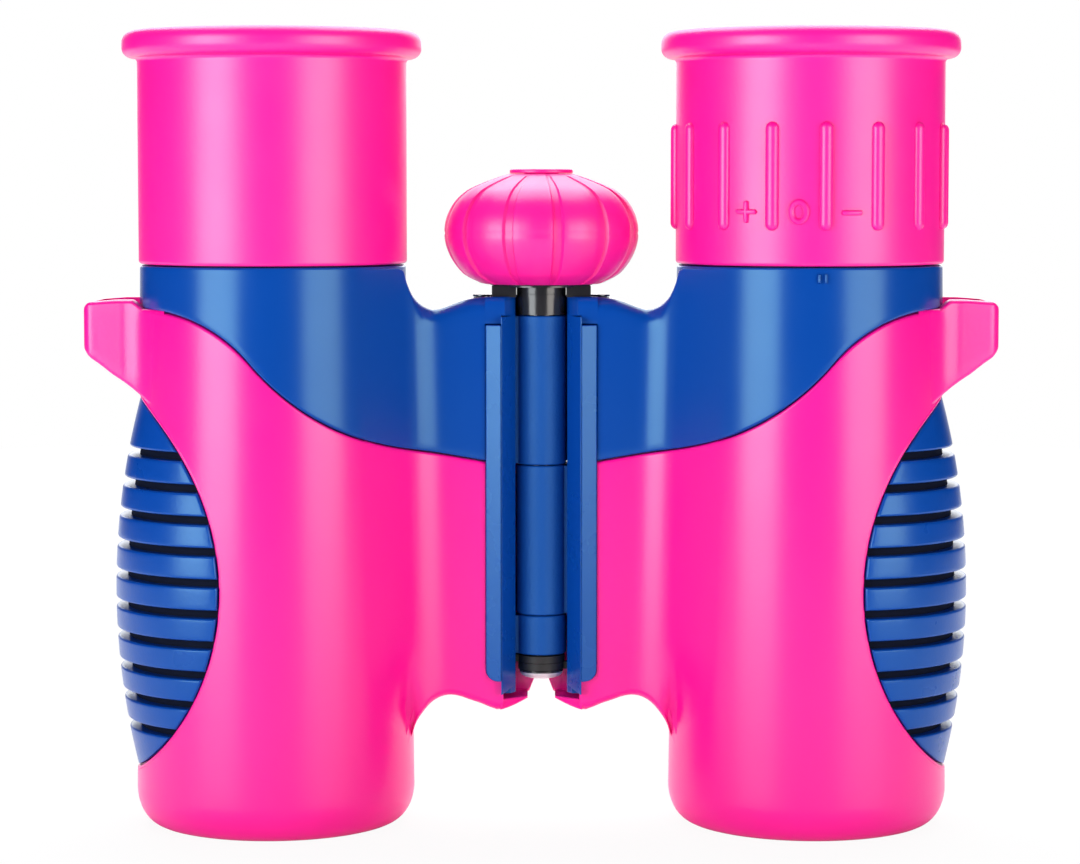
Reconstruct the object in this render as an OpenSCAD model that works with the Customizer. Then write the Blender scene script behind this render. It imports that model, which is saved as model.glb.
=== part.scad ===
// Toy binoculars standing on the objective rims.
// Z points up to the eyepieces, X is across the two barrels, the hinge axis is the Z axis.

/* [Barrels] */
// distance between the two barrel axes with the halves fully open
barrel_spacing = 62; // [54:1:76]
// height of the housing necks above the objective rims
neck_height = 64.5; // [55:0.5:78]
// barrel radius at the neck
barrel_r_top = 15.3; // [13.5:0.1:18.4]
// how much wider the barrel is at the objective rim
barrel_flare = 0.9; // [0.4:0.05:1.4]
// rounding of the barrel edge at the objective rim
rim_round = 2.2; // [1:0.1:3]
// thickness of the coloured armour
armour_t = 1.3; // [1:0.05:1.8]
// thickness of the housing wall under the armour
shell_t = 1.05; // [0.8:0.05:1.6]

/* [Bridge] */
// half thickness of the bridge web between barrel and hinge
web_w = 4.2; // [3.9:0.1:5.2]
// height of the lowest corner of the web
web_bottom = 13.5; // [10:0.5:16]
// fillet between web and barrel flank
flank_fillet = 5; // [3:0.5:7]
// half of the slit between the two back flaps
flap_gap = 0.4; // [0.3:0.1:0.8]

/* [Armour outline] */
// radius of the upper bend of the armour edge
sweep_r1 = 16.4; // [13:0.2:19]
// radius of the lower bend of the armour edge
sweep_r2 = 32; // [26:1:38]
// steepest slope of the armour edge
sweep_angle = 49; // [42:1:55]
// slope of the armour edge at the hinge
sweep_end = 9.8; // [7:0.2:12]
// reach of the strap lug beyond the neck
lug_out = 7.1; // [5.8:0.1:9]
// half width of the strap lug
lug_w = 6; // [5.4:0.1:8]
// wall of the strap lug
lug_wall = 1.75; // [1.4:0.05:2.2]

/* [Grip] */
// radius of the round window that the grip fills
window_r = 27.3; // [24:0.3:33]
// distance from the barrel axis to the edge of the window
window_edge = 5.4; // [4.2:0.1:6.6]
// how far the grip bulges beyond the barrel
grip_rise = 2.65; // [2:0.05:3.2]
// radius of the bulge seen from the front
bulge_r = 86; // [72:1:103]
// how far the round of the grip sits outside the barrel axis
bulge_shift = 2.8; // [2:0.1:3.4]
// height from one grip rib to the next
rib_pitch = 3.5; // [3:0.1:4.2]
// height of the groove between two ribs
rib_groove = 0.95; // [0.7:0.05:1.3]
// number of grooves
rib_count = 10; // [8:1:11]

/* [Hinge] */
// radius of the hinge knuckles
knuckle_r = 2.9; // [2.6:0.1:3.4]
// radius of the hollow hinge axle
axle_r = 2; // [1.7:0.05:2.2]
// radius of the focus rod inside the axle
rod_r = 1.15; // [0.9:0.05:1.3]
// height of the lowest knuckle face
hinge_bottom = 19.6; // [17:0.2:22]
// height of the hinge rails above the seat on the web
rail_rise = 2.5; // [1.8:0.1:2.7]
// width of a hinge rail
rail_width = 3.4; // [3:0.1:4]

/* [Focus] */
// largest radius of the focus knob
knob_r = 11.25; // [9.5:0.05:12.5]
// height of the focus knob
knob_h = 12.8; // [11:0.2:15]
// radius of the black collar under the knob
collar_r = 5.75; // [5:0.05:6.9]
// number of grooves around the knob
knob_grooves = 12; // [8:1:16]
// largest travel of the objective cells
focus_travel = 1.8; // [1:0.1:2]

/* [Eyepieces] */
// height of an eyecup
eyecup_h = 26.9; // [23:0.1:32]
// how far the eyecup tube stands out from the neck
eyecup_step = 0.15; // [0.1:0.05:0.4]
// how far the rolled rim stands out from the eyecup tube
flange_step = 1.75; // [1.4:0.05:2.2]
// height of the rolled eyecup rim
flange_h = 3.1; // [2.6:0.1:3.7]
// wall of the eyecup tube
eyecup_wall = 1.55; // [1.3:0.05:1.8]
// number of ribs on the diopter ring
ring_ribs = 16; // [12:1:20]
// height of the ribs on the diopter ring
ring_rib_h = 12.1; // [10:0.1:14]

/* [Fits] */
// gap between pieces that stay together
seat = 0.05; // [0.02:0.01:0.08]
// running gap between pieces that turn or slide
run = 0.15; // [0.1:0.01:0.2]
// running gap on the hinge axle and focus rod
pin_run = 0.06; // [0.03:0.01:0.1]
// visible seam between armour, grip and housing
seam = 0.15; // [0.1:0.01:0.3]

/* [Hidden] */
$fn = 96;
ax = barrel_spacing / 2;
c45 = cos(45);
barrel_r_bottom = barrel_r_top + barrel_flare;
eyecup_r = barrel_r_top + eyecup_step;
flange_r = eyecup_r + flange_step;
lug_reach = barrel_r_top + lug_out;
window_reach = window_r + window_edge;
bore_r = barrel_r_top - armour_t - shell_t;
core_d = armour_t + seat;
flank_r = barrel_r_top;
mid_r = (barrel_r_top + barrel_r_bottom) / 2;
grip_r = mid_r + grip_rise;
web_top = neck_height - 3.7;
web_low = neck_height - 5.4;
hinge_top = neck_height - 5.8;
hinge_clear = knuckle_r + 0.25;
split_b = hinge_bottom + 0.118 * (hinge_top - hinge_bottom);
split_a = hinge_bottom + 0.565 * (hinge_top - hinge_bottom);
split_gap = 0.1;
sweep_z = neck_height - 4.8;
sweep_x = ax + 14;
bend_x = sweep_x - sweep_r1 * sin(sweep_angle);
bend_z = sweep_z - sweep_r1 + sweep_r1 * cos(sweep_angle);
low_cx = bend_x - sweep_r2 * sin(sweep_angle);
low_cz = bend_z + sweep_r2 * cos(sweep_angle);
end_x = low_cx + sweep_r2 * sin(sweep_end);
end_z = low_cz - sweep_r2 * cos(sweep_end);
win_x = ax + window_reach;
win_z = 0.437 * neck_height;
rail_x0 = knuckle_r + 0.1;
rail_x1 = rail_x0 + rail_width;
rail_seat = web_w - core_d;
rail_top = rail_seat + seat + rail_rise;
rail_z0 = web_bottom + 2.4;
rail_z1 = hinge_top - 0.4;
groove_z = win_z + 0.23 * neck_height;
arm_w = 0.7;
arm_z = hinge_bottom - 1;
ring_t = 0.8;
rod_z0 = arm_z - ring_t - seat - 0.6;
arm_top = arm_z + 4.4;
slot_low = arm_z - focus_travel - 0.3;
cell_r = bore_r - run;
cell_z0 = 8;
cell_z1 = arm_top + 3;
cell_wall = 1.6;
lens_r = cell_r - cell_wall - seat;
shoulder_z = cell_z1 + 2.5;
cage_z0 = shoulder_z + 1.2 + seat;
cage_r = bore_r - 2 * seat;
sleeve_z0 = neck_height - 6.5;
cage_z1 = sleeve_z0 - seat;
plate_t = 1.2;
prism_w = 0.545 * cage_r;
prism_z0 = cage_z0 + plate_t + seat;
prism_z1 = cage_z1 - plate_t - seat;
prism_gap = 0.7;
prism_low = prism_z0 + 0.17 * (prism_z1 - prism_z0);
cup_z0 = neck_height + seam;
cup_z1 = cup_z0 + eyecup_h;
cup_in = eyecup_r - eyecup_wall;
sleeve_r = cup_in - run;
sleeve_top = cup_z1 - flange_h - 0.35;
sleeve_neck = bore_r - seat;
sleeve_in = sleeve_neck - 1.2;
tube_r = sleeve_in - run;
glass_r = tube_r - 1.15;
tube_z0 = neck_height - 4.2;
tube_top = cup_z1 - 8;
key_z = neck_height + 7.5;
key_r = 0.8;
diopter_lead = 6;
diopter_low = 20;
diopter_high = 38;
collar_z = web_top + 0.1;
washer_t = 0.25;
knob_z0 = collar_z + 1.2;
knob_eq = knob_z0 + 0.475 * knob_h;
knob_arc = 0.475 * knob_h;
knob_top = knob_z0 + knob_h;
boss_r = 4.6;
clip_z = knob_z0 + 0.2;
axle_top = clip_z + 1;
nut_z = axle_top + 0.9;
nut_r = 3;
nut_h = 0.39 * knob_h;

function barrel_r(z) = barrel_r_bottom + (barrel_r_top - barrel_r_bottom) * z / neck_height;

// a shape drawn in X and Z, run through the body along Y
module through_y(depth = 80) {
    rotate([90, 0, 0])
        linear_extrude(depth, center = true)
            children();
}

module tube(r_out, r_in, z0, z1) {
    translate([0, 0, z0])
        difference() {
            cylinder(h = z1 - z0, r = r_out);
            translate([0, 0, -1])
                cylinder(h = z1 - z0 + 2, r = r_in);
        }
}

module left_side() {
    mirror([1, 0, 0])
        children();
}

// everything below the swept upper edge of the armour
module below_sweep2d() {
    difference() {
        union() {
            polygon([[-1, -5], [ax + 40, -5], [ax + 40, sweep_z], [sweep_x, sweep_z],
                [bend_x, bend_z], [end_x, end_z], [-1, end_z - (end_x + 1) * tan(sweep_end)]]);
            translate([sweep_x, sweep_z - sweep_r1])
                circle(r = sweep_r1);
        }
        translate([low_cx, low_cz])
            circle(r = sweep_r2);
    }
}

// web and 45 degree flanks in plan, drawn in by d
module flank2d(d, x0) {
    fr = flank_r - d;
    w = web_w - d;
    tx = ax - fr * c45;
    ty = fr * c45;
    cx = tx - (ty - w);
    rf = flank_fillet + d;
    tl = rf * tan(22.5);
    polygon([[x0, -w], [cx, -w], [tx, -ty], [ax, -ty], [ax, ty], [tx, ty], [cx, w], [x0, w]]);
    for (s = [-1, 1])
        scale([1, s])
            difference() {
                polygon([[cx - tl, w - 1], [cx + tl, w - 1], [cx + tl * c45, w + tl * c45],
                    [cx - tl, w + rf]]);
                translate([cx - tl, w + rf])
                    circle(r = rf);
            }
}

// web seen from the front, its lower edge raised by d
module web2d(d) {
    side = ax - barrel_r_top;
    rf = 3;
    polygon([[-1, web_bottom + 0.5 + d], [5.2, web_bottom + d], [side - 4.8, web_bottom + 1.6 + d],
        [ax, web_bottom + 1.6 + d], [ax, web_low], [side - 2.9, web_low], [7.8, web_top], [-1, web_top]]);
    translate([0, web_low])
        difference() {
            translate([side - rf, -1])
                square([rf + 2, rf + 1]);
            translate([side - rf, rf])
                circle(r = rf);
        }
    translate([0, web_bottom + 1.6 + d])
        difference() {
            translate([side - rf, -rf])
                square([rf + 2, rf + 1]);
            translate([side - rf, -rf])
                circle(r = rf);
        }
}

// outer form of one half drawn in by d
module body_form(d, x0) {
    translate([ax, 0, d])
        cylinder(h = neck_height - d, r1 = barrel_r(d) - d, r2 = barrel_r_top - d);
    intersection() {
        linear_extrude(neck_height + 5)
            flank2d(d, x0);
        through_y()
            web2d(d);
    }
}

// the outer form with the rounded objective rim
module armour_form() {
    translate([ax, 0, 0])
        rotate_extrude() {
            square([barrel_r_bottom - rim_round, rim_round]);
            polygon([[0, rim_round], [barrel_r(rim_round), rim_round], [barrel_r_top, neck_height], [0, neck_height]]);
            translate([barrel_r(rim_round) - rim_round, rim_round])
                circle(r = rim_round);
        }
    intersection() {
        linear_extrude(neck_height + 5)
            flank2d(0, flap_gap);
        through_y()
            web2d(0);
    }
    strap_lug();
}

module strap_lug() {
    difference() {
        through_y(2 * lug_w)
            difference() {
                translate([ax, sweep_z - 12])
                    square([lug_reach, 12]);
                translate([win_x, win_z])
                    circle(r = window_r + 0.9);
                translate([ax + lug_reach - 1, sweep_z - 1])
                    difference() {
                        square([2, 2]);
                        circle(r = 1);
                    }
            }
        difference() {
            translate([ax, -(lug_w - lug_wall), sweep_z - 20])
                cube([lug_reach - lug_wall, 2 * (lug_w - lug_wall), 30]);
            translate([ax, 0, sweep_z - 30])
                cylinder(h = 50, r = mid_r);
        }
    }
}

// open channel in front of the hinge, and the space that the knuckles turn in
module hinge_channel() {
    translate([0, 0, -1])
        linear_extrude(neck_height + 10) {
            polygon([[-2, 0.01], [rail_x0, 0.01], [rail_x0, -1.7], [rail_x0 + 1.6, -rail_top],
                [rail_x0 + 1.6, -rail_top - 4], [-2, -rail_top - 4]]);
            circle(r = hinge_clear);
        }
}

module rail_recess() {
    translate([0, -rail_seat - 6, rail_z0 - seat])
        cube([rail_x1 + seat, 6, rail_z1 - rail_z0 + 2 * seat]);
}

// slot in the web and barrel wall for the focus arm
module arm_slot(low) {
    through_y(2 * arm_w + 0.5)
        polygon([[rail_x0, low], [rail_x0 + 1.4, low], [rail_x0 + 3.4, slot_low + 0.8],
            [ax - bore_r + 2, slot_low + 0.8], [ax - bore_r + 2, arm_top + 0.35], [rail_x0, arm_top + 0.35]]);
}

module knuckle(z0, z1, fit) {
    difference() {
        translate([0, 0, z0])
            union() {
                cylinder(h = z1 - z0, r = knuckle_r);
                translate([0, -1.2, 0])
                    cube([rail_x0 + 1, 3.2, z1 - z0]);
            }
        translate([0, 0, z0 - 1])
            cylinder(h = z1 - z0 + 2, r = axle_r + fit);
    }
}

module housing(slot_floor) {
    difference() {
        union() {
            body_form(core_d, rail_x0 + 0.3);
            difference() {
                body_form(0, flap_gap);
                translate([0, 0, seam])
                    through_y()
                        below_sweep2d();
            }
        }
        hinge_channel();
        rail_recess();
        arm_slot(slot_floor);
        translate([ax, 0, -1])
            cylinder(h = shoulder_z + 1, r = bore_r);
        translate([ax, 0, 0])
            cylinder(h = neck_height + 1, r = bore_r - 1.8);
        translate([ax, 0, shoulder_z + 1.2])
            cylinder(h = neck_height, r = bore_r);
    }
}

module armour() {
    difference() {
        intersection() {
            armour_form();
            through_y()
                below_sweep2d();
        }
        body_form(armour_t, -1);
        translate([ax, 0, -1])
            cylinder(h = 5, r = bore_r);
        hinge_channel();
        translate([0, -rail_seat - 6, rail_z0 - seat])
            cube([rail_x1 + seat, 6, rail_z1]);
        through_y()
            translate([win_x, win_z])
                circle(r = window_r);
    }
}

module grip() {
    difference() {
        intersection() {
            translate([ax + bulge_shift, 0, 0])
                rotate_extrude()
                    intersection() {
                        translate([grip_r - bulge_shift - bulge_r, win_z - 1.2])
                            circle(r = bulge_r, $fn = 360);
                        translate([0, 2])
                            square([grip_r + 2, neck_height]);
                    }
            through_y()
                translate([win_x, win_z])
                    circle(r = window_r - 2 * seam);
        }
        translate([ax, 0, 0])
            cylinder(h = neck_height, r1 = barrel_r_bottom - armour_t, r2 = barrel_r_top - armour_t);
        for (i = [0 : rib_count - 1])
            translate([ax, 0, groove_z - i * rib_pitch])
                tube(grip_r + 3, mid_r - armour_t + 0.8, 0, rib_groove);
    }
}

module hinge_rail() {
    base = rail_seat + seat;
    slope = 1.6 / (rail_top - 1.7);
    translate([0, 0, rail_z0])
        linear_extrude(rail_z1 - rail_z0)
            polygon([[rail_x0 + slope * (base - 1.7), -base], [rail_x0 + slope * (rail_top - 1.9), -rail_top + 0.2],
                [rail_x0 + 1.75, -rail_top], [rail_x0 + 2.3, -rail_top], [rail_x1, -rail_top + 0.9], [rail_x1, -base]]);
}

module left_housing() {
    color([0.04, 0.24, 0.62]) {
        left_side()
            difference() {
                union() {
                    housing(slot_low);
                    knuckle(split_a + split_gap / 2, hinge_top, 0.02);
                    knuckle(hinge_bottom, split_b - split_gap / 2, 0.02);
                }
                arm_slot(slot_low);
            }
    }
}

module right_housing() {
    color([0.04, 0.24, 0.62]) {
        housing(slot_low - ring_t - seat);
        knuckle(split_b + split_gap / 2, split_a - split_gap / 2, pin_run);
    }
}

module left_armour() {
    color([1, 0.1, 0.58])
        left_side()
            armour();
}

module right_armour() {
    color([1, 0.1, 0.58])
        armour();
}

module left_grip() {
    color([0.05, 0.26, 0.66])
        left_side()
            grip();
}

module right_grip() {
    color([0.05, 0.26, 0.66])
        grip();
}

module left_hinge_rail() {
    color([0.06, 0.3, 0.7])
        left_side()
            hinge_rail();
}

module right_hinge_rail() {
    color([0.06, 0.3, 0.7])
        hinge_rail();
}

// hollow axle with a groove for its clip
module hinge_axle() {
    color([0.7, 0.7, 0.72])
        difference() {
            tube(axle_r, rod_r + run, hinge_bottom + 0.1, axle_top);
            tube(axle_r + 1, axle_r - 0.25, clip_z, clip_z + 0.6);
        }
}

module axle_clip() {
    color([0.6, 0.6, 0.62])
        difference() {
            tube(axle_r + 1.2, axle_r - 0.25 + seat / 2, clip_z + seat / 2, clip_z + 0.6 - seat / 2);
            translate([0, -0.5, clip_z - 1])
                cube([axle_r + 3, 1, 3]);
        }
}

module knob_form(d) {
    rotate_extrude()
        intersection() {
            translate([0, knob_z0])
                square([knob_r + 1, knob_h]);
            union() {
                translate([knob_r - knob_arc, knob_eq])
                    circle(r = knob_arc - d);
                translate([0, knob_z0])
                    square([knob_r - knob_arc, 2 * knob_arc]);
                polygon([[0, knob_eq], [knob_r - knob_arc, knob_eq], [knob_r - knob_arc, knob_eq + knob_arc - d],
                    [3.75, knob_top - d], [0, knob_top - d]]);
            }
        }
}

module focus_knob() {
    color([1, 0.1, 0.58])
        difference() {
            knob_form(0);
            difference() {
                for (i = [0 : knob_grooves - 1])
                    rotate(10 + i * 360 / knob_grooves)
                        translate([-0.375, -knob_r - 1, knob_z0 - 1])
                            cube([0.75, knob_r - 4, knob_h - 1.4]);
                knob_form(0.5);
            }
            translate([0, 0, knob_z0 - 1])
                cylinder(h = nut_z - knob_z0 + 1, r = boss_r + seat);
            translate([0, 0, nut_z - 1])
                cylinder(h = nut_h + 1 + seat, r = nut_r + seat);
            translate([0, 0, knob_z0])
                cylinder(h = knob_h + 1, r = 2);
        }
}

module knob_cap() {
    color([1, 0.14, 0.6]) {
        translate([0, 0, knob_top + seat])
            cylinder(h = 0.4, r = 3.65);
        translate([0, 0, knob_top - 2])
            cylinder(h = 2.1, r = 2 - seat);
    }
}

module knob_collar() {
    color([0.12, 0.12, 0.14]) {
        tube(collar_r, axle_r + pin_run, collar_z + washer_t + seat, knob_z0 - seat);
        tube(knuckle_r - 0.1, axle_r + pin_run, hinge_top + 0.15, collar_z + washer_t + 0.3);
        tube(boss_r, axle_r + 1.5, knob_z0 - 0.3, nut_z - 0.2);
    }
}

module knob_washer() {
    color([0.06, 0.06, 0.07])
        tube(1.39 * collar_r, knuckle_r, collar_z, collar_z + washer_t);
}

module knob_nut() {
    color([0.75, 0.6, 0.3])
        tube(nut_r, rod_r + pin_run, nut_z, nut_z + nut_h);
}

module focus_rod() {
    color([0.6, 0.6, 0.62])
        translate([0, 0, rod_z0])
            cylinder(h = nut_z + nut_h + 1.2 - rod_z0, r = rod_r);
}

// domed nut that holds the two arm rings on the rod
module rod_end_nut() {
    z1 = rod_z0 + 0.6 - seat;
    color([0.2, 0.2, 0.22])
        difference() {
            intersection() {
                translate([0, 0, z1 - 1.1])
                    cylinder(h = 1.1, r = 2.4);
                translate([0, 0, z1 - 1.1 + 3.6])
                    sphere(r = 3.6);
            }
            translate([0, 0, z1 - 0.6])
                cylinder(h = 2, r = rod_r + 0.02);
        }
}

module focus_arm(ring_z, step_z, fit) {
    difference() {
        union() {
            translate([0, 0, ring_z])
                cylinder(h = ring_t, r = knuckle_r - 0.2);
            through_y(2 * arm_w)
                polygon([[1.5, ring_z], [rail_x0 + 1, ring_z], [rail_x0 + 3, arm_z + ring_t],
                    [ax - cell_r + 1.4, arm_z + ring_t], [ax - cell_r + 1.4, arm_top], [rail_x0 + 0.5, arm_top],
                    [rail_x0 + 0.5, step_z], [1.5, step_z]]);
        }
        translate([0, 0, ring_z - 1])
            cylinder(h = ring_t + 2, r = rod_r + fit);
    }
}

module left_focus_arm() {
    color([0.1, 0.1, 0.11])
        left_side()
            focus_arm(arm_z, arm_z + ring_t, 0.02);
}

module right_focus_arm() {
    color([0.1, 0.1, 0.11])
        focus_arm(arm_z - ring_t - seat, arm_z - seat, pin_run);
}

// sliding cell with a seat for the lens and a notch for the focus arm
module objective_cell() {
    translate([ax, 0, 0])
        difference() {
            union() {
                tube(cell_r, cell_r - cell_wall, cell_z0, cell_z1);
                tube(cell_r - 0.5, lens_r - 1.1, cell_z0 + 5, cell_z0 + 6.2);
            }
            translate([-cell_r - 1, -arm_w - seat / 2, arm_z + ring_t - seat / 2])
                cube([3.4, 2 * arm_w + seat, arm_top - arm_z - ring_t + seat]);
        }
}

module left_objective_cell() {
    color([0.08, 0.08, 0.09])
        left_side()
            objective_cell();
}

module right_objective_cell() {
    color([0.08, 0.08, 0.09])
        objective_cell();
}

// moulded lens with a flat rim and two curved faces
module lens(r, rim, z, bulge) {
    cap = r - 1.6;
    ball = (cap * cap + bulge * bulge) / (2 * bulge);
    translate([0, 0, z])
        rotate_extrude() {
            square([r, rim]);
            intersection() {
                translate([0, -bulge])
                    square([cap, rim + 2 * bulge]);
                translate([0, rim + bulge - ball])
                    circle(r = ball, $fn = 720);
                translate([0, ball - bulge])
                    circle(r = ball, $fn = 720);
            }
        }
}

module objective_lens() {
    translate([ax, 0, 0])
        lens(lens_r, 1.6, cell_z0 + 5 - 1.6 - seat, 1);
}

module left_objective_lens() {
    color([0.6, 0.55, 0.75])
        left_side()
            objective_lens();
}

module right_objective_lens() {
    color([0.6, 0.55, 0.75])
        objective_lens();
}

module objective_ring() {
    translate([ax, 0, 0])
        tube(lens_r, lens_r - 1.1, cell_z0 + 1.4, cell_z0 + 5 - 1.6 - 2 * seat);
}

module left_objective_ring() {
    color([0.07, 0.07, 0.08])
        left_side()
            objective_ring();
}

module right_objective_ring() {
    color([0.07, 0.07, 0.08])
        objective_ring();
}

// flared ring in the mouth of the barrel
module front_bezel() {
    z0 = 0.7;
    z1 = cell_z0 - focus_travel - 1.1;
    translate([ax, 0, 0])
        difference() {
            translate([0, 0, z0])
                cylinder(h = z1 - z0, r = bore_r - seat);
            translate([0, 0, z0 - 0.01])
                cylinder(h = z1 - z0 + 0.02, r1 = bore_r - 0.9, r2 = lens_r - 0.6);
        }
}

module left_front_bezel() {
    color([0.06, 0.06, 0.07])
        left_side()
            front_bezel();
}

module right_front_bezel() {
    color([0.06, 0.06, 0.07])
        front_bezel();
}

// cage of two plates, a shell and two cheeks that hold the prisms
module prism_cage() {
    translate([ax, 0, 0])
        difference() {
            union() {
                tube(cage_r, cage_r - 0.9, cage_z0, cage_z1);
                tube(cage_r - 0.4, 6.5, cage_z0, cage_z0 + plate_t);
                tube(cage_r - 0.4, 6.5, cage_z1 - plate_t, cage_z1);
                for (s = [-1, 1])
                    translate([-6.5, s * (prism_w + seat + 0.7) - 0.7, cage_z0 + 0.3])
                        cube([13, 1.4, cage_z1 - cage_z0 - 0.6]);
            }
            translate([0, 0, prism_z0 + 2])
                rotate([0, -90, 0])
                    linear_extrude(40)
                        translate([0, -4])
                            square([6, 8]);
        }
}

module left_prism_cage() {
    color([0.08, 0.08, 0.09])
        left_side()
            prism_cage();
}

module right_prism_cage() {
    color([0.08, 0.08, 0.09])
        prism_cage();
}

module half_prism() {
    translate([ax, 0, 0])
        through_y(2 * prism_w)
            polygon([[-prism_w, prism_z0], [prism_w, prism_z0], [prism_w, prism_low],
                [-prism_w, prism_low + 2 * prism_w]]);
}

module left_half_prism() {
    color([0.75, 0.85, 0.9])
        left_side()
            half_prism();
}

module right_half_prism() {
    color([0.75, 0.85, 0.9])
        half_prism();
}

module roof_prism() {
    translate([ax, 0, 0])
        intersection() {
            through_y(2 * prism_w)
                polygon([[prism_w, prism_low + prism_gap], [prism_w, prism_z1], [-prism_w, prism_z1],
                    [-prism_w, prism_low + prism_gap + 2 * prism_w]]);
            linear_extrude(neck_height)
                polygon([[-prism_w, -prism_w], [0, -prism_w], [prism_w, 0], [0, prism_w], [-prism_w, prism_w]]);
        }
}

module left_roof_prism() {
    color([0.72, 0.82, 0.9])
        left_side()
            roof_prism();
}

module right_roof_prism() {
    color([0.72, 0.82, 0.9])
        roof_prism();
}

// barrel of the eyepiece with its lower lip
module lens_barrel() {
    tube(tube_r, glass_r, tube_z0, tube_top);
    tube(tube_r - 0.4, glass_r - 1.2, tube_z0, tube_z0 + 1);
}

// neck sleeve that stands on the housing
module sleeve(r_above, r_in) {
    tube(sleeve_neck, r_in, sleeve_z0, neck_height + 1);
    tube(r_above, r_in, neck_height + seat, sleeve_top);
}

module left_eyepiece_tube() {
    color([0.07, 0.07, 0.08])
        translate([-ax, 0, 0]) {
            sleeve(cup_in - seat, tube_r - 0.3);
            lens_barrel();
        }
}

// fixed sleeve with a straight slot for the key pin
module right_neck_sleeve() {
    color([0.07, 0.07, 0.08])
        translate([ax, 0, 0])
            difference() {
                sleeve(sleeve_r, sleeve_in);
                for (z = [-1.2, 1.2])
                    translate([0, 0, key_z + z])
                        rotate([-90, 0, 0])
                            cylinder(h = 20, r = key_r + run);
                translate([-key_r - run, 0, key_z - 1.2])
                    cube([2 * (key_r + run), 20, 2.4]);
            }
}

module right_eyepiece_tube() {
    color([0.07, 0.07, 0.08])
        translate([ax, 0, 0])
            difference() {
                lens_barrel();
                translate([0, 0, key_z])
                    rotate([-90, 0, 0])
                        cylinder(h = 20, r = key_r + 0.02);
            }
}

// pin that keys the eyepiece to the sleeve and rides in the groove of the ring
module diopter_key_pin() {
    color([0.7, 0.7, 0.72])
        translate([ax, 0, key_z])
            rotate([-90, 0, 0])
                translate([0, 0, glass_r + 0.1])
                    cylinder(h = cup_in + 0.6 - glass_r - 0.1, r = key_r);
}

module field_lens() {
    lens(glass_r - seat, 1.4, tube_z0 + 1 + seat, 0.9);
}

module left_field_lens() {
    color([0.75, 0.8, 0.88])
        translate([-ax, 0, 0])
            field_lens();
}

module right_field_lens() {
    color([0.75, 0.8, 0.88])
        translate([ax, 0, 0])
            field_lens();
}

module lens_spacer() {
    tube(glass_r - seat, glass_r - 1.3, tube_z0 + 2.4 + 2 * seat, tube_top - 4.6);
}

module left_lens_spacer() {
    color([0.09, 0.09, 0.1])
        translate([-ax, 0, 0])
            lens_spacer();
}

module right_lens_spacer() {
    color([0.09, 0.09, 0.1])
        translate([ax, 0, 0])
            difference() {
                lens_spacer();
                translate([0, 0, key_z])
                    rotate([-90, 0, 0])
                        cylinder(h = glass_r + 0.3, r = key_r + 0.3);
            }
}

module eye_lens() {
    lens(glass_r - seat, 1.6, tube_top - 4.6 + seat, 1.2);
}

module left_eye_lens() {
    color([0.62, 0.6, 0.8])
        translate([-ax, 0, 0])
            eye_lens();
}

module right_eye_lens() {
    color([0.62, 0.6, 0.8])
        translate([ax, 0, 0])
            eye_lens();
}

module lens_retainer() {
    tube(glass_r - seat, glass_r - 1.4, tube_top - 3 + 2 * seat, tube_top - 0.8);
}

module left_lens_retainer() {
    color([0.06, 0.06, 0.07])
        translate([-ax, 0, 0])
            lens_retainer();
}

module right_lens_retainer() {
    color([0.06, 0.06, 0.07])
        translate([ax, 0, 0])
            lens_retainer();
}

// soft cup with a rolled rim
module eyecup() {
    rr = 1.45;
    z1 = cup_z1 - flange_h;
    rotate_extrude() {
        translate([cup_in, cup_z0 + 0.4])
            square([eyecup_wall, eyecup_h - 2]);
        translate([cup_in, cup_z0])
            square([eyecup_wall - 0.4, 1]);
        translate([eyecup_r - 0.4, cup_z0 + 0.4])
            circle(r = 0.4);
        translate([cup_in - 2 + rr, z1])
            square([flange_r - cup_in + 2 - 2 * rr, flange_h]);
        translate([cup_in - 2, z1])
            square([3, flange_h - rr]);
        translate([cup_in - 2, z1 + rr])
            square([flange_r - cup_in + 2, flange_h - 2 * rr]);
        translate([flange_r - rr, z1 + rr])
            circle(r = rr);
        translate([flange_r - rr, cup_z1 - rr])
            circle(r = rr);
        translate([cup_in - 2 + rr, cup_z1 - rr])
            circle(r = rr);
    }
}

module left_eyecup() {
    color([1, 0.1, 0.58])
        translate([-ax, 0, 0])
            eyecup();
}

// ribbed cup that turns as the diopter ring, with a rising groove inside
module diopter_eyecup() {
    color([1, 0.1, 0.58])
        translate([ax, 0, 0]) {
            difference() {
                eyecup();
                for (a = [-diopter_high - 2 : 6.2 : diopter_low + 5])
                    rotate(a)
                        translate([-1.3, cup_in - 1, key_z + a * diopter_lead / 360 - key_r - 0.3])
                            cube([2.6, 1.75, 2 * key_r + 0.6]);
            }
            for (i = [0 : ring_ribs - 1])
                rotate(2 + i * 360 / ring_ribs)
                    translate([0, -eyecup_r - 0.1, key_z - 3.1])
                        cylinder(h = ring_rib_h, r = 0.75);
        }
}

left_housing();
right_housing();
left_armour();
right_armour();
left_grip();
right_grip();
left_hinge_rail();
right_hinge_rail();
hinge_axle();
axle_clip();
focus_knob();
knob_cap();
knob_collar();
knob_washer();
knob_nut();
focus_rod();
rod_end_nut();
left_focus_arm();
right_focus_arm();
left_objective_cell();
right_objective_cell();
left_objective_lens();
right_objective_lens();
left_objective_ring();
right_objective_ring();
left_front_bezel();
right_front_bezel();
left_prism_cage();
right_prism_cage();
left_half_prism();
right_half_prism();
left_roof_prism();
right_roof_prism();
left_eyepiece_tube();
right_eyepiece_tube();
right_neck_sleeve();
left_field_lens();
right_field_lens();
left_lens_spacer();
right_lens_spacer();
left_eye_lens();
right_eye_lens();
left_lens_retainer();
right_lens_retainer();
left_eyecup();
diopter_eyecup();
diopter_key_pin();
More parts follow.
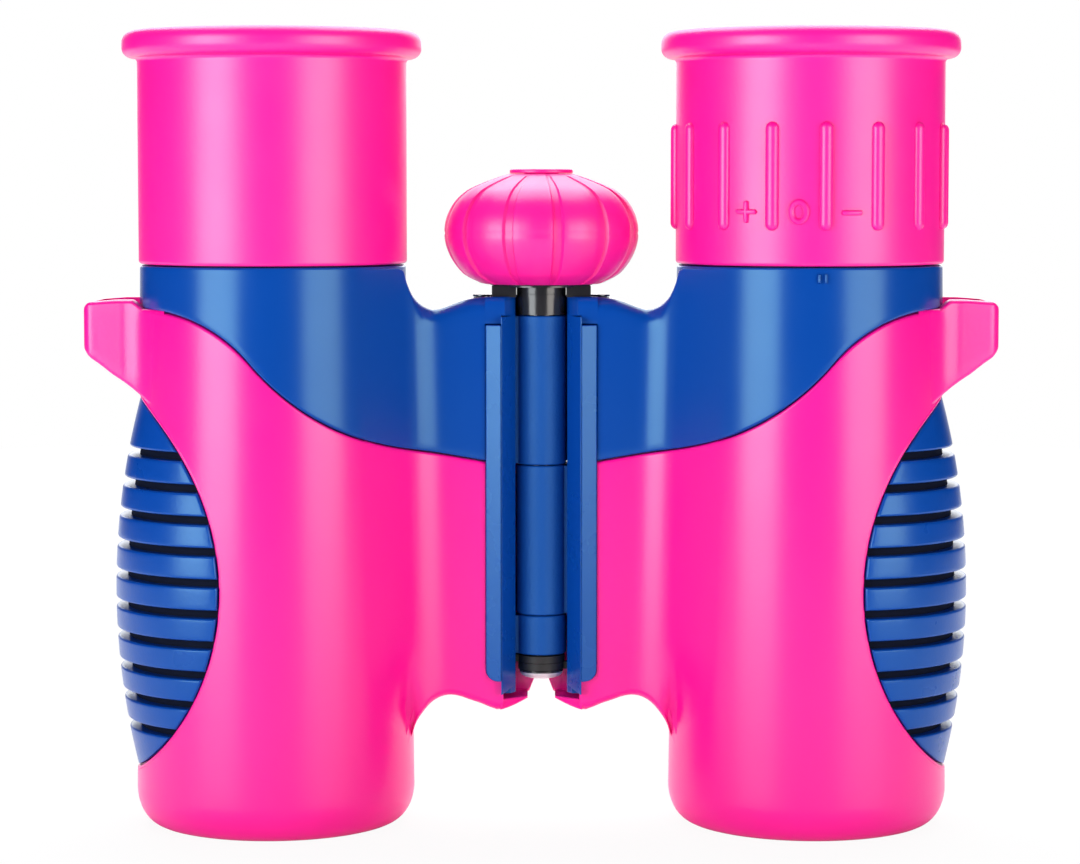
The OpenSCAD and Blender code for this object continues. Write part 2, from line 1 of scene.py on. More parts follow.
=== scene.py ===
import bpy
from math import sin, cos, tan, acos, atan2, sqrt, pi, radians, degrees
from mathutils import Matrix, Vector


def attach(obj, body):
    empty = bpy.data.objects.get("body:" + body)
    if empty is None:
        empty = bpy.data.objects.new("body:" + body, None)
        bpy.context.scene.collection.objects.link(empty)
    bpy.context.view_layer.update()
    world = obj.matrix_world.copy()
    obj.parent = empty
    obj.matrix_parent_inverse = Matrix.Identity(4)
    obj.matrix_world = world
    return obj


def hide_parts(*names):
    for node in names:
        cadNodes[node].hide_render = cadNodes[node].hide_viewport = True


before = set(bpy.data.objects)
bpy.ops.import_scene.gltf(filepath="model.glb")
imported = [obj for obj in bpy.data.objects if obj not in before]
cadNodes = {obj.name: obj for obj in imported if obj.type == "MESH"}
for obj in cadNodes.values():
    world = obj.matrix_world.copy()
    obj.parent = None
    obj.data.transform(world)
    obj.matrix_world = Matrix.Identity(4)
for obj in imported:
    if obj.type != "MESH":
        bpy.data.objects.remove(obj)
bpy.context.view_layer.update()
mm = 0.001
scene = bpy.context.scene
print("frame loaded", len(cadNodes), "nodes")


# helpers for lines and meshes, sizes in mm
def spaced(a, b, n):
    return [a + (b - a) * k / n for k in range(n + 1)]


def quarter(steps):                # angles of a quarter turn
    return [radians(90) * k / steps for k in range(steps + 1)]


def ease(t):
    t = max(0, min(1, t))
    return t * t * (3 - 2 * t)


def pick(obj=None):
    if bpy.context.object and bpy.context.object.mode != "OBJECT":
        bpy.ops.object.mode_set(mode="OBJECT")
    bpy.ops.object.select_all(action="DESELECT")
    if obj:
        obj.select_set(True)
        bpy.context.view_layer.objects.active = obj


def named(name):
    obj = bpy.context.object
    obj.name = obj.data.name = name
    return obj


def editAll(obj):
    pick(obj)
    bpy.ops.object.mode_set(mode="EDIT")
    bpy.ops.mesh.select_all(action="SELECT")


def closeUp(obj, caps=False):      # merge doubles, cap open ends, faces outwards
    editAll(obj)
    bpy.ops.mesh.remove_doubles(threshold=2e-6)
    bpy.ops.mesh.dissolve_degenerate(threshold=1e-7)
    bpy.ops.mesh.delete_loose()
    bpy.ops.mesh.select_all(action="SELECT")
    if caps:
        bpy.ops.mesh.fill_holes(sides=0)
    bpy.ops.mesh.select_all(action="SELECT")
    bpy.ops.mesh.normals_make_consistent(inside=False)
    bpy.ops.object.mode_set(mode="OBJECT")
    return obj


def wrapGrid(name, across, up, place, caps=False):       # a grid laid over a form
    pick()
    bpy.ops.mesh.primitive_grid_add(x_subdivisions=across, y_subdivisions=up, size=1)
    obj = named(name)
    for v in obj.data.vertices:
        v.co = Vector(place(round((v.co.x + 0.5) * across), round((v.co.y + 0.5) * up))) * mm
    return closeUp(obj, caps)


def lofted(name, rings, caps=True):      # a skin over rings of points
    return wrapGrid(name, len(rings) - 1, len(rings[0]) - 1, lambda i, j: rings[i][j], caps)


def turned(name, outline, axisX=0, steps=144):           # closed (radius, z) outline spun about an upright axis
    pick()
    bpy.ops.mesh.primitive_circle_add(vertices=len(outline), radius=1)
    obj = named(name)
    for v, (r, z) in zip(obj.data.vertices, outline):
        v.co = Vector((axisX + r, 0, z)) * mm
    editAll(obj)
    bpy.ops.mesh.spin(steps=steps, angle=2 * pi, center=(axisX * mm, 0, 0), axis=(0, 0, 1))
    return closeUp(obj)


def rounded(corners, steps=5):     # corners (x, y, radius) become one outline with round corners
    out = []
    n = len(corners)
    for i, (x, y, r) in enumerate(corners):
        p = Vector((x, y))
        a = Vector(corners[i - 1][:2]) - p
        b = Vector(corners[(i + 1) % n][:2]) - p
        if r <= 0 or a.length < 1e-6 or b.length < 1e-6:
            out.append((x, y))
            continue
        a.normalize()
        b.normalize()
        halfTurn = acos(max(-1, min(1, a.dot(b)))) / 2
        if abs(halfTurn - pi / 2) < 0.01:
            out.append((x, y))
            continue
        reach = r / tan(halfTurn)
        mid = p + (a + b).normalized() * (r / sin(halfTurn))
        s = p + a * reach - mid
        e = p + b * reach - mid
        turn = atan2(s.x * e.y - s.y * e.x, s.dot(e))
        for k in range(steps + 1):
            t = turn * k / steps
            out.append((mid.x + s.x * cos(t) - s.y * sin(t), mid.y + s.x * sin(t) + s.y * cos(t)))
    return out


def rectangle(xs, ys, low=0, high=0, steps=6):           # its two corners at the far x can be round
    return rounded([(xs[0], ys[0], 0), (xs[1], ys[0], low), (xs[1], ys[1], high), (xs[0], ys[1], 0)], steps)


def planBlock(name, outline, z0, z1):    # plan outline pulled up from z0 to z1
    pick()
    bpy.ops.mesh.primitive_circle_add(vertices=len(outline), radius=1, fill_type="NGON")
    obj = named(name)
    for v, (x, y) in zip(obj.data.vertices, outline):
        v.co = Vector((x, y, z0)) * mm
    editAll(obj)
    bpy.ops.mesh.extrude_region_move(TRANSFORM_OT_translate={"value": (0, 0, (z1 - z0) * mm)})
    return closeUp(obj)


def frontBlock(name, outline, y0, y1):   # outline of (x, z) pulled from y0 to y1
    obj = planBlock(name, outline, y0, y1)
    for v in obj.data.vertices:
        v.co = Vector((v.co.x, v.co.z, v.co.y))
    return closeUp(obj)


def roundCutter(radius, depth, place, turn=(0, 0, 0), sides=160):
    pick()
    bpy.ops.mesh.primitive_cylinder_add(vertices=sides, radius=radius * mm, depth=depth * mm,
        location=[c * mm for c in place], rotation=turn)
    return bpy.context.object


def bevelled(obj, width, segments, angle):
    pick(obj)
    mod = obj.modifiers.new("edges", "BEVEL")
    mod.width = width * mm
    mod.segments = segments
    mod.limit_method = "ANGLE"
    mod.angle_limit = radians(angle)
    mod.miter_outer = "MITER_ARC"
    bpy.ops.object.modifier_apply(modifier=mod.name)
    return obj


def carve(obj, cutter):
    pick(obj)
    mod = obj.modifiers.new("cut", "BOOLEAN")
    mod.operation = "DIFFERENCE"
    mod.solver = "MANIFOLD"
    mod.object = cutter
    bpy.ops.object.modifier_apply(modifier=mod.name)
    bpy.data.objects.remove(cutter, do_unlink=True)
    return obj


def joined(name, *objs):
    pick(objs[0])
    for o in objs:
        o.select_set(True)
    bpy.ops.object.join()
    return named(name)


def mirrored(obj, name):           # the same piece for the other half, with its own mesh
    pick(obj)
    bpy.ops.object.duplicate()
    copy = named(name)
    for v in copy.data.vertices:
        v.co.x = -v.co.x
    editAll(copy)
    bpy.ops.mesh.flip_normals()
    bpy.ops.object.mode_set(mode="OBJECT")
    return copy


def softShade(obj, angle=32):
    pick(obj)
    bpy.ops.object.shade_smooth_by_angle(angle=radians(angle))
    mod = obj.modifiers.new("evenNormals", "WEIGHTED_NORMAL")
    mod.keep_sharp = True
    bpy.ops.object.modifier_apply(modifier=mod.name)


def painted(obj, material):
    obj.data.materials.clear()
    obj.data.materials.append(material)
    return obj


def fit(obj, material, onBody, slot, *stands):           # finish, body, slot (not used) and the nodes it stands for
    if material:
        painted(obj, material)
    softShade(obj)
    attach(obj, onBody)
    for n in stands:
        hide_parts(n)


def fitBoth(right, material, slot, *stands):             # a right piece and its mirror image
    left = mirrored(right, right.name.replace("right", "left"))
    fit(right, material, "right_half", slot, *["right_" + n for n in stands])
    fit(left, material, "left_half", slot, *["left_" + n for n in stands])


# finishes
def setInputs(node, values):
    for key, value in values.items():
        node.inputs[key].default_value = value
    return node


def newNode(nodes, kind, **values):      # a shader node with plain values, scale= sets its Scale
    return setInputs(nodes.new("ShaderNode" + kind), {key.title(): value for key, value in values.items()})


def mapRange(nodes, low, high, outLow=0.0, outHigh=1.0):
    return setInputs(nodes.new("ShaderNodeMapRange"),
        {"From Min": low, "From Max": high, "To Min": outLow, "To Max": outHigh})


def mathNode(nodes, operation, second=None):
    node = nodes.new("ShaderNodeMath")
    node.operation = operation
    if second is not None:
        node.inputs[1].default_value = second
    return node


def mouldedSkin():                 # cloudy tone, uneven gloss and a fine grain, as on moulded plastic
    group = bpy.data.node_groups.new("mouldedSkin", "ShaderNodeTree")
    inputs = (("Colour", "Color", (1, 1, 1, 1)), ("Deep Colour", "Color", (0.5, 0.5, 0.5, 1)),
              ("Gloss Low", "Float", 0.3), ("Gloss High", "Float", 0.4), ("Grain", "Float", 2600.0))
    for label, kind, value in inputs:
        sock = group.interface.new_socket(name=label, in_out="INPUT", socket_type="NodeSocket" + kind)
        sock.default_value = value
    for label, kind in (("Colour", "Color"), ("Roughness", "Float"), ("Height", "Float")):
        group.interface.new_socket(name=label, in_out="OUTPUT", socket_type="NodeSocket" + kind)
    nd, ln = group.nodes, group.links
    gin, gout = nd.new("NodeGroupInput"), nd.new("NodeGroupOutput")
    place = newNode(nd, "TexCoord")
    cloud = newNode(nd, "TexNoise", scale=55, detail=3)
    grain = newNode(nd, "TexNoise", detail=2)
    smear = newNode(nd, "TexNoise", scale=160, detail=5)
    mix = newNode(nd, "Mix")
    mix.data_type = "RGBA"
    ramp = mapRange(nd, 0.1, 0.9)  # wide, so that no edge shows where it clips
    tone = mapRange(nd, 0.05, 0.95)
    for tex in (cloud, grain, smear):
        ln.new(place.outputs["Object"], tex.inputs["Vector"])
    ln.new(gin.outputs["Grain"], grain.inputs["Scale"])
    ln.new(cloud.outputs["Fac"], tone.inputs["Value"])
    ln.new(tone.outputs["Result"], mix.inputs["Factor"])
    ln.new(gin.outputs["Colour"], mix.inputs["A"])
    ln.new(gin.outputs["Deep Colour"], mix.inputs["B"])
    ln.new(smear.outputs["Fac"], ramp.inputs["Value"])
    ln.new(gin.outputs["Gloss Low"], ramp.inputs["To Min"])
    ln.new(gin.outputs["Gloss High"], ramp.inputs["To Max"])
    ln.new(mix.outputs["Result"], gout.inputs["Colour"])
    ln.new(ramp.outputs["Result"], gout.inputs["Roughness"])
    ln.new(grain.outputs["Fac"], gout.inputs["Height"])
    return group


skinGroup = mouldedSkin()


def plastic(name, colour, deep, gloss, bump, look=None, grain=2600):
    mat = bpy.data.materials.new(name)
    mat.use_nodes = True
    nd, ln = mat.node_tree.nodes, mat.node_tree.links
    bsdf = nd["Principled BSDF"]
    skin = nd.new("ShaderNodeGroup")
    skin.node_tree = skinGroup
    setInputs(skin, {"Colour": (*colour, 1), "Deep Colour": (*deep, 1), "Gloss Low": gloss[0],
        "Gloss High": gloss[1], "Grain": grain})
    relief = newNode(nd, "Bump", strength=bump, distance=0.0004)
    ln.new(skin.outputs["Height"], relief.inputs["Height"])
    ln.new(relief.outputs["Normal"], bsdf.inputs["Normal"])
    ln.new(skin.outputs["Colour"], bsdf.inputs["Base Color"])
    ln.new(skin.outputs["Roughness"], bsdf.inputs["Roughness"])
    setInputs(bsdf, look or {})
    return mat


# what each shader has beside its skin
pinkLook = {"Specular IOR Level": 0.66}
armourLook = {"Specular IOR Level": 0.54}
shadeLook = {"Specular IOR Level": 0.15}
blueLook = {"Specular IOR Level": 0.42, "Specular Tint": (0.5, 1.0, 1.0, 1)}
metalLook = {"Metallic": 1.0}
satinLook = {"Metallic": 0.45}
lensLook = {"Transmission Weight": 1.0, "IOR": 1.49}
prismLook = {"Transmission Weight": 1.0, "IOR": 1.52}
metalGrain, hingeGrain = 4200, 3600

# colour, deep colour, gloss from and to, bump
pinkArmour = plastic("pinkArmour", (0.93, 0.003, 0.30), (0.89, 0.002, 0.28), (0.27, 0.33), 0.02, armourLook)
pinkCup = plastic("pinkCup", (0.93, 0.004, 0.31), (0.89, 0.003, 0.29), (0.34, 0.40), 0.025, pinkLook)
pinkKnob = plastic("pinkKnob", (0.92, 0.003, 0.29), (0.87, 0.002, 0.26), (0.36, 0.43), 0.03, pinkLook)
blueHousing = plastic("blueHousing", (0.001, 0.052, 0.32), (0.001, 0.049, 0.31), (0.22, 0.28), 0.012, blueLook)
blueHinge = plastic("blueHinge", (0.002, 0.064, 0.33), (0.001, 0.050, 0.28), (0.46, 0.60), 0.12, blueLook, hingeGrain)
blueRail = plastic("blueRail", (0.001, 0.058, 0.34), (0.001, 0.051, 0.31), (0.24, 0.30), 0.012, blueLook)
blueGrip = plastic("blueGrip", (0.001, 0.056, 0.35), (0.001, 0.049, 0.31), (0.25, 0.33), 0.04, blueLook)
# near-black colour for the sheet at the floor of the grip grooves: painted shade in the grooves
paintedGrooveShade = plastic("paintedGrooveShade", (0.001, 0.004, 0.02), (0.001, 0.003, 0.014), (0.7, 0.85), 0.06, shadeLook)
blackGloss = plastic("blackGloss", (0.022, 0.022, 0.026), (0.016, 0.016, 0.019), (0.16, 0.26), 0.01)
blackMatte = plastic("blackMatte", (0.012, 0.012, 0.013), (0.008, 0.008, 0.009), (0.5, 0.65), 0.06)
steelSatin = plastic("steelSatin", (0.78, 0.78, 0.8), (0.7, 0.7, 0.72), (0.4, 0.5), 0.02, satinLook, metalGrain)
steelBright = plastic("steelBright", (0.56, 0.57, 0.59), (0.46, 0.47, 0.49), (0.18, 0.32), 0.02, metalLook, metalGrain)
steelDark = plastic("steelDark", (0.10, 0.10, 0.11), (0.07, 0.07, 0.08), (0.2, 0.34), 0.02, metalLook, metalGrain)
brassTurned = plastic("brassTurned", (0.62, 0.43, 0.16), (0.52, 0.35, 0.12), (0.2, 0.34), 0.02, metalLook, metalGrain)
lensClear = plastic("lensClear", (0.80, 0.82, 0.93), (0.76, 0.79, 0.92), (0.02, 0.05), 0.0, lensLook)
prismClear = plastic("prismClear", (0.92, 0.95, 0.95), (0.88, 0.92, 0.93), (0.02, 0.06), 0.0, prismLook)
print("finishes made")

# one half, right side
half = dict(axis=31, neckTop=64.8, footRadius=16.2, flare=0.9, seam=0.15, wall=1.3, bore=12.95, core=13.7, edge=0.35,
            webHalf=4.2, railSide=6.45, overlap=0.01, hingeBack=3.4, sampleR=15.5)
sweep = dict(topX=45, topZ=59.7, upper=(45, 43.3, 16.4), turnX=32.623, lower=(8.472, 75.054, 32),
             endX=13.918, endZ=43.521, slope=9.8)


def along(pts, x):                 # height at x on a smooth line through points
    x = min(max(x, pts[0][0]), pts[-1][0])
    k = max(n for n in range(len(pts) - 1) if pts[n][0] <= x)

    def slope(n):
        a, b = pts[max(n - 1, 0)], pts[min(n + 1, len(pts) - 1)]
        return (b[1] - a[1]) / (b[0] - a[0])
    (x0, z0), (x1, z1) = pts[k], pts[k + 1]
    t, d = (x - x0) / (x1 - x0), x1 - x0
    return ((1 + 2 * t) * (1 - t) ** 2 * z0 + t * (1 - t) ** 2 * d * slope(k)
            + t * t * (3 - 2 * t) * z1 + t * t * (t - 1) * d * slope(k + 1))


def barrelRadius(z):
    return half["footRadius"] - half["flare"] * z / half["neckTop"]


def sweepHeight(x):                # swept upper edge of the armour: level, two arcs and a straight
    if x >= sweep["topX"]:
        return sweep["topZ"]
    if x >= sweep["turnX"]:
        cx, cz, r = sweep["upper"]
        return cz + sqrt(r ** 2 - (cx - x) ** 2)
    if x >= sweep["endX"]:
        cx, cz, r = sweep["lower"]
        return cz - sqrt(r ** 2 - (x - cx) ** 2)
    return sweep["endZ"] - (sweep["endX"] - x) * tan(radians(sweep["slope"]))


def barrelShell(name, outlineAt, columns=216):           # a closed outline per angle, round the barrel axis
    outlines = []
    for i in range(columns + 1):
        a = 2 * pi * (i % columns) / columns
        pts = outlineAt(half["axis"] + half["sampleR"] * cos(a))
        outlines.append([(half["axis"] + r * cos(a), r * sin(a), z) for r, z in pts + pts[:1]])
    return lofted(name, outlines, caps=False)


# web between barrel and hinge: its flap behind the hinge, then the flank that runs into the barrel
webForm = dict(flapGap=0.4, flapRound=0.5, flapX=(1.4, 2.2, 3.0, 4.2), flapFront=2.85, clear=3.15, footLow=13.4,
               notchX=1.3, notchRise=1.2, notchClimb=2.8, notchRun=0.9, lipX=5.2, lipRun=3.9, lipBend=1.6,
               roundShare=0.4, crispX=15.0, crispEdge=0.12, lean=0.05, steepest=4, leanX=12.2, leanRun=1.2,
               crest=((5.0, 61.2), (6.5, 61.17), (7.8, 61.04), (8.9, 60.8), (10.0, 60.42), (11.2, 59.96),
                      (12.3, 59.72), (13.3, 59.98), (14.0, 60.5), (14.6, 61.2), (15.05, 62.1), (15.4, 63.1),
                      (15.7, 64.3), (16.2, 64.5), (24, 64.5)),
               foot=((5.2, 13.42), (6.0, 13.7), (7.05, 14.14), (8.2, 14.52), (9.35, 14.93), (10.5, 15.12),
                     (11.65, 14.93), (12.8, 14.25), (13.8, 13.1), (14.4, 12.1), (14.85, 10.9), (15.2, 9.4),
                     (15.6, 8.0), (24, 7.5)))
flank = dict(fillet=7.2, rows=(7, 14, 10), nudge=0.02, inner=2.0, hidden=0.7, sinkTop=22, sinkOver=12, sinkX=12.9,
             sinkRun=2.9, under=0.12, thinTop=13, thinOver=4, thinGap=0.2, thinBy=2.4)


def webFoot(x):                    # lower edge of the web
    w = webForm
    if x < w["notchX"]:
        return w["footLow"] + w["notchRise"] + w["notchClimb"] * (w["notchX"] - x) / w["notchRun"]
    if x < w["lipX"]:
        return w["footLow"] + w["notchRise"] * ((w["lipX"] - x) / w["lipRun"]) ** w["lipBend"]
    return along(w["foot"], x)


def webCrest(x):                   # upper edge of the web
    return along(webForm["crest"], x)


def flankStations(z):              # (x, half depth) from the hinge side to inside the barrel
    r, w, f = barrelRadius(z), half["webHalf"], flank["fillet"]
    start = half["axis"] - r * sqrt(2) + w - f * tan(pi / 8)
    flat, bend, straight = flank["rows"]
    pts = [(x, w) for x in spaced(half["railSide"], start, flat)[:-1]]
    for k in range(bend + 1):
        a = radians(45) * k / bend
        pts.append((start + f * sin(a), w + f - f * cos(a)))
    tx, ty = half["axis"] - r * cos(pi / 4), r * sin(pi / 4)
    x0, y0 = pts[-1]
    pts += list(zip(spaced(x0, tx, straight), spaced(y0, ty, straight)))[1:]
    pts += [(tx + more, ty - flank["hidden"]) for more in (flank["nudge"], flank["inner"])]
    sink = ease((flank["sinkTop"] - z) / flank["sinkOver"])          # near its foot it sinks into the barrel
    thin = w - flank["thinGap"] - flank["thinBy"] * ease((flank["thinTop"] - z) / flank["thinOver"])

    def sunk(x, y):
        aim = max(thin, sqrt(max(0, r * r - (half["axis"] - x) ** 2)) - flank["under"])
        return x, y + (min(aim, y) - y) * sink * ease((x - flank["sinkX"]) / flank["sinkRun"])
    return [sunk(x, y) for x, y in pts]


def flapStations():                # (x, front y, back y) of the back flap, round at its free edge
    e, w = webForm["flapRound"], half["webHalf"]
    pts = [(webForm["flapGap"] + e * (1 - cos(a)), w - e + e * sin(a)) for a in quarter(4)]
    pts += [(x, w) for x in (*webForm["flapX"], half["railSide"] - half["overlap"])]
    return [(x, max(sqrt(max(webForm["clear"] ** 2 - x * x, 0)), webForm["flapFront"]), y) for x, y in pts]


def webBlock(name, lower, upper, footRound, topRound, startZ, wallRows=22):
    flap = flapStations()
    turn = quarter(5)

    def ring(i):
        if i < len(flap):
            level = lambda z: flap[i]
        else:
            def level(z):
                x, y = flankStations(z)[i - len(flap)]
                return x, -y, y

        def wall(za, zb, side):    # points of the front or back face
            zs = spaced(za, zb, wallRows)[1:-1]
            return [(level(z)[0], level(z)[side], z) for z in zs]
        mid = level(startZ)[0]
        z0, z1 = lower(mid), upper(mid)
        for n in range(14):        # settle both ends, as x shifts a little with height
            z0 += (lower(level(z0)[0]) - z0) * 0.5
            z1 += (upper(level(z1)[0]) - z1) * 0.5
        xLow, frontLow, backLow = level(z0)
        xTop, frontTop, backTop = level(z1)
        thick = backLow - frontLow
        rb, rt = min(footRound, thick * webForm["roundShare"]), min(topRound, thick * webForm["roundShare"])
        zb = z1
        if upper is webCrest:      # crisp where it climbs the neck, and lower at the back
            rt = min(rt, max(webForm["crispEdge"], webForm["crispX"] - mid))
            climb = abs(webCrest(mid + 0.05) - webCrest(mid - 0.05)) / 0.1
            zb -= (thick * webForm["lean"] * (1 + min(climb, webForm["steepest"]))
                   * ease((mid - webForm["leanX"]) / webForm["leanRun"]))
        pts = [(xLow, frontLow + rb * (1 - sin(a)), z0 + rb * (1 - cos(a))) for a in turn]
        pts += wall(z0 + rb, z1 - rt, 1)
        pts += [(xTop, frontTop + rt * (1 - cos(a)), z1 - rt * (1 - sin(a))) for a in turn]
        pts += [(xTop, backTop - rt * (1 - sin(a)), zb - rt * (1 - cos(a))) for a in turn]
        pts += wall(zb - rt, z0 + rb, 2)
        pts += [(xLow, backLow - rb * (1 - cos(a)), z0 + rb * (1 - sin(a))) for a in turn]
        return pts + pts[:1]

    web = lofted(name, [ring(i) for i in range(len(flap) + len(flankStations(startZ)))])
    return carve(web, roundCutter(half["core"], 200, (half["axis"], 0, 40)))         # it stays out of the bore


def hingeBlock(name, xs, front, low, top, roundFoot, roundTop):      # stations along x, closed at the back
    def ring(x):
        y, z0 = front(x), low(x)
        pts = [(x, y + roundFoot * (1 - sin(a)), z0 + roundFoot * (1 - cos(a))) for a in quarter(5)]
        pts += [(x, y, z) for z in spaced(z0 + roundFoot, top - roundTop, 4)[1:-1]]
        pts += [(x, y + roundTop * (1 - cos(a)), top - roundTop * (1 - sin(a))) for a in quarter(5)]
        pts += [(x, half["hingeBack"], top), (x, half["hingeBack"], z0)]
        return pts + pts[:1]

    return lofted(name, [ring(x) for x in xs])


# armour with its strap lug
armour = dict(rimWide=2.9, rimTall=4.2, mouth=4.9, mouthEdge=(0.2, 0.25), windowX=63.7, windowZ=28.5, windowR=27.6,
              bead=0.3, footRound=0.9, lipX=4.4, lipTop=18.6, lipRound=0.1, seatX=(3, 6.43), seatZ=(16.8, 30),
              seatRound=1.35, seatY=(-8, -2.95), slotX=(1, 16.5), slotZ=(16.2, 23.8), slotY=(-1.0, 1.0),
              floorX=(1.6, 4.75), floorTop=14.72, floorRound=(0.35, 0.2), floorInset=0.03,
              floorLeast=1.2, floorStart=1.6, floorFrom=1.3, floorSlope=0.8)
lug = dict(inX=42.5, outX=52.35, halfDeep=6.0, wall=1.75, end=1.2, root=5.0, rootZ=52, top=60.9, endRound=1.0,
           edgeRound=0.5, leastRound=0.12, roundLoss=0.6, under=(63.7, 35.23, 22.57), windowGap=0.45, sunk=0.25,
           taperX=48, taper=0.1, fallX=48.5, fallRun=4, fall=0.3, dipX=46.6, dipRun=1.2, dip=1.0, slotX=41,
           slotRound=1.0, slotTaper=0.88, slotZ=(40, 70))


def armourOutline(x):
    top, e = sweepHeight(x), half["edge"]
    wide, rim = armour["rimWide"], armour["rimTall"]
    across, up = armour["mouthEdge"]
    pts = [(half["bore"], up), (half["bore"] + across, 0)]
    pts += [(barrelRadius(rim) - wide + wide * sin(a), rim - rim * cos(a)) for a in quarter(12)]
    pts += [(barrelRadius(z), z) for z in spaced(rim, top - e, 27)[1:-1]]
    pts += [(barrelRadius(top) - e + e * cos(a), top - e + e * sin(a)) for a in quarter(5)]
    pts += [(barrelRadius(z) - half["wall"], z) for z in spaced(top, armour["mouth"], 5)]
    return pts + [(half["bore"], armour["mouth"])]


def windowBead(steps=130, sides=12):     # round lip along the window edge
    b, rw = armour["bead"], armour["windowR"] + armour["bead"]
    wx, wz = armour["windowX"], armour["windowZ"]
    ends = []
    for up in (-1, 1):             # where the window runs out over the barrel's side
        z = wz
        for n in range(40):
            x = half["axis"] + barrelRadius(z) - b
            z = wz + up * sqrt(max(rw * rw - (wx - x) ** 2, 0))
        ends.append(atan2(z - wz, wx - x))
    arc = []
    for k in range(steps):
        t = ends[0] + (ends[1] - ends[0]) * (0.5 - 0.5 * cos(pi * k / steps))
        x, z = wx - rw * cos(t), wz + rw * sin(t)
        r = barrelRadius(z) - b
        arc.append(Vector((x, -sqrt(max(r * r - (x - half["axis"]) ** 2, 0)), z)))
    tip = Vector((wx - rw * cos(ends[1]), 0, wz + rw * sin(ends[1])))
    path = arc + [tip] + [Vector((p.x, -p.y, p.z)) for p in arc[:0:-1]]
    n = len(path)

    def place(i, j):
        p = path[i % n]
        ahead = (path[(i + 1) % n] - path[i % n - 1]).normalized()
        out = Vector((p.x - half["axis"], p.y, 0)).normalized()
        side = ahead.cross(out).normalized()
        out = side.cross(ahead)
        a = 2 * pi * (j % sides) / sides
        return p + (out * cos(a) + side * sin(a)) * b

    return wrapGrid("windowBead", n, sides, place)


def strapLug():
    h, out, f, end = lug["halfDeep"], lug["outX"], lug["root"], lug["endRound"]
    ux, uz, ur = lug["under"]
    wr = armour["windowR"] + lug["windowGap"]
    r = barrelRadius(lug["rootZ"])       # the root fillet runs from rootX on the lug to touchX on the barrel
    rootX = half["axis"] + sqrt((r + f) ** 2 - (h + f) ** 2)
    touchX = half["axis"] + (rootX - half["axis"]) * r / (r + f)
    stations = [(x, 0) for x in spaced(lug["inX"], out - end, 34)]
    stations += [(out - end + end * sin(a), end * (1 - cos(a))) for a in quarter(8)[1:]]

    def ring(x, inset):
        under = uz + sqrt(ur * ur - (ux - x) ** 2) if x > ux - ur else 0
        under = max(under, armour["windowZ"] + sqrt(wr * wr - (armour["windowX"] - x) ** 2))
        root = min(rootX - touchX, max(0, rootX - x))
        deep = h + f - sqrt(f * f - root * root)
        if x < touchX:
            deep = sqrt(r * r - (x - half["axis"]) ** 2) - lug["sunk"]
        deep *= 1 - lug["taper"] * max(0, (x - lug["taperX"]) / (out - lug["taperX"]))
        top = lug["top"] - lug["fall"] * min(1, max(0, (x - lug["fallX"]) / lug["fallRun"]))
        top -= lug["dip"] * min(1, max(0, (lug["dipX"] - x) / lug["dipRun"]))
        y, z0, z1 = deep - inset, under + inset, top - inset
        e = max(lug["leastRound"], lug["edgeRound"] - inset * lug["roundLoss"])
        pts = []
        for cy, cz, a0 in ((y - e, z0 + e, -90), (y - e, z1 - e, 0), (e - y, z1 - e, 90), (e - y, z0 + e, 180)):
            for k in range(7):
                a = radians(a0 + 15 * k)
                pts.append((x, cy + e * cos(a), cz + e * sin(a)))
        rows = []
        for k, p in enumerate(pts):
            rows.append(p)
            if k in (6, 20):       # extra points along the two flat sides
                q = pts[k + 1]
                rows += [tuple(p[n] + (q[n] - p[n]) * t / 6 for n in range(3)) for t in range(1, 6)]
        return rows + rows[:1]

    body = lofted("strapLug", [ring(x, inset) for x, inset in stations])
    x, w, bend = out - lug["end"], h - lug["wall"], lug["slotRound"]
    outline = [(lug["slotX"], -w, 0), (x, -w * lug["slotTaper"], bend), (x, w * lug["slotTaper"], bend),
               (lug["slotX"], w, 0)]
    return carve(body, planBlock("slotCut", rounded(outline, 5), *lug["slotZ"]))


def pocketFront(x):                # front of the floor between the rails
    slope = armour["floorStart"] + (x - armour["floorFrom"]) * armour["floorSlope"]
    return -min(half["webHalf"] - armour["floorInset"], max(armour["floorLeast"], slope))


def makeArmour():
    shell = barrelShell("armourShell", armourOutline)
    window = (armour["windowX"], 0, armour["windowZ"])
    carve(shell, roundCutter(armour["windowR"] + armour["bead"], 60, window, (pi / 2, 0, 0), 320))
    foot = armour["footRound"]
    web = webBlock("armourWeb", webFoot, sweepHeight, foot, half["edge"], 30)
    lip = hingeBlock("railLip", spaced(armour["lipX"], half["railSide"] + half["overlap"], 8),
        lambda x: -half["webHalf"], webFoot, armour["lipTop"], foot, armour["lipRound"])
    seat = rectangle(armour["seatX"], armour["seatZ"], armour["seatRound"], 0, 8)
    carve(lip, frontBlock("stripSeat", seat, *armour["seatY"]))
    for solid in (web, lip):       # room for the focus arm to travel
        carve(solid, frontBlock("armSlot", rectangle(armour["slotX"], armour["slotZ"]), *armour["slotY"]))
    pocket = hingeBlock("pocketFloor", spaced(*armour["floorX"], 12), pocketFront, webFoot, armour["floorTop"],
        *armour["floorRound"])
    return joined("rightArmour", shell, web, lip, pocket, windowBead(), strapLug())


fitBoth(makeArmour(), pinkArmour, "armour_pink", "armour")
print("armour done")

# raised marks on a barrel, rows of (inset, lift)
bar = dict(sides=24, square=0.7, rows=((0, -0.2), (0, 0.16), (0.22 / 3, 0.31), (0.616 / 3, 0.38), (None, 0.39)))


def onBarrel(turn, z, r):          # turn in degrees from the front, towards the outer side
    a = radians(turn)
    return half["axis"] + r * sin(a), -r * cos(a), z


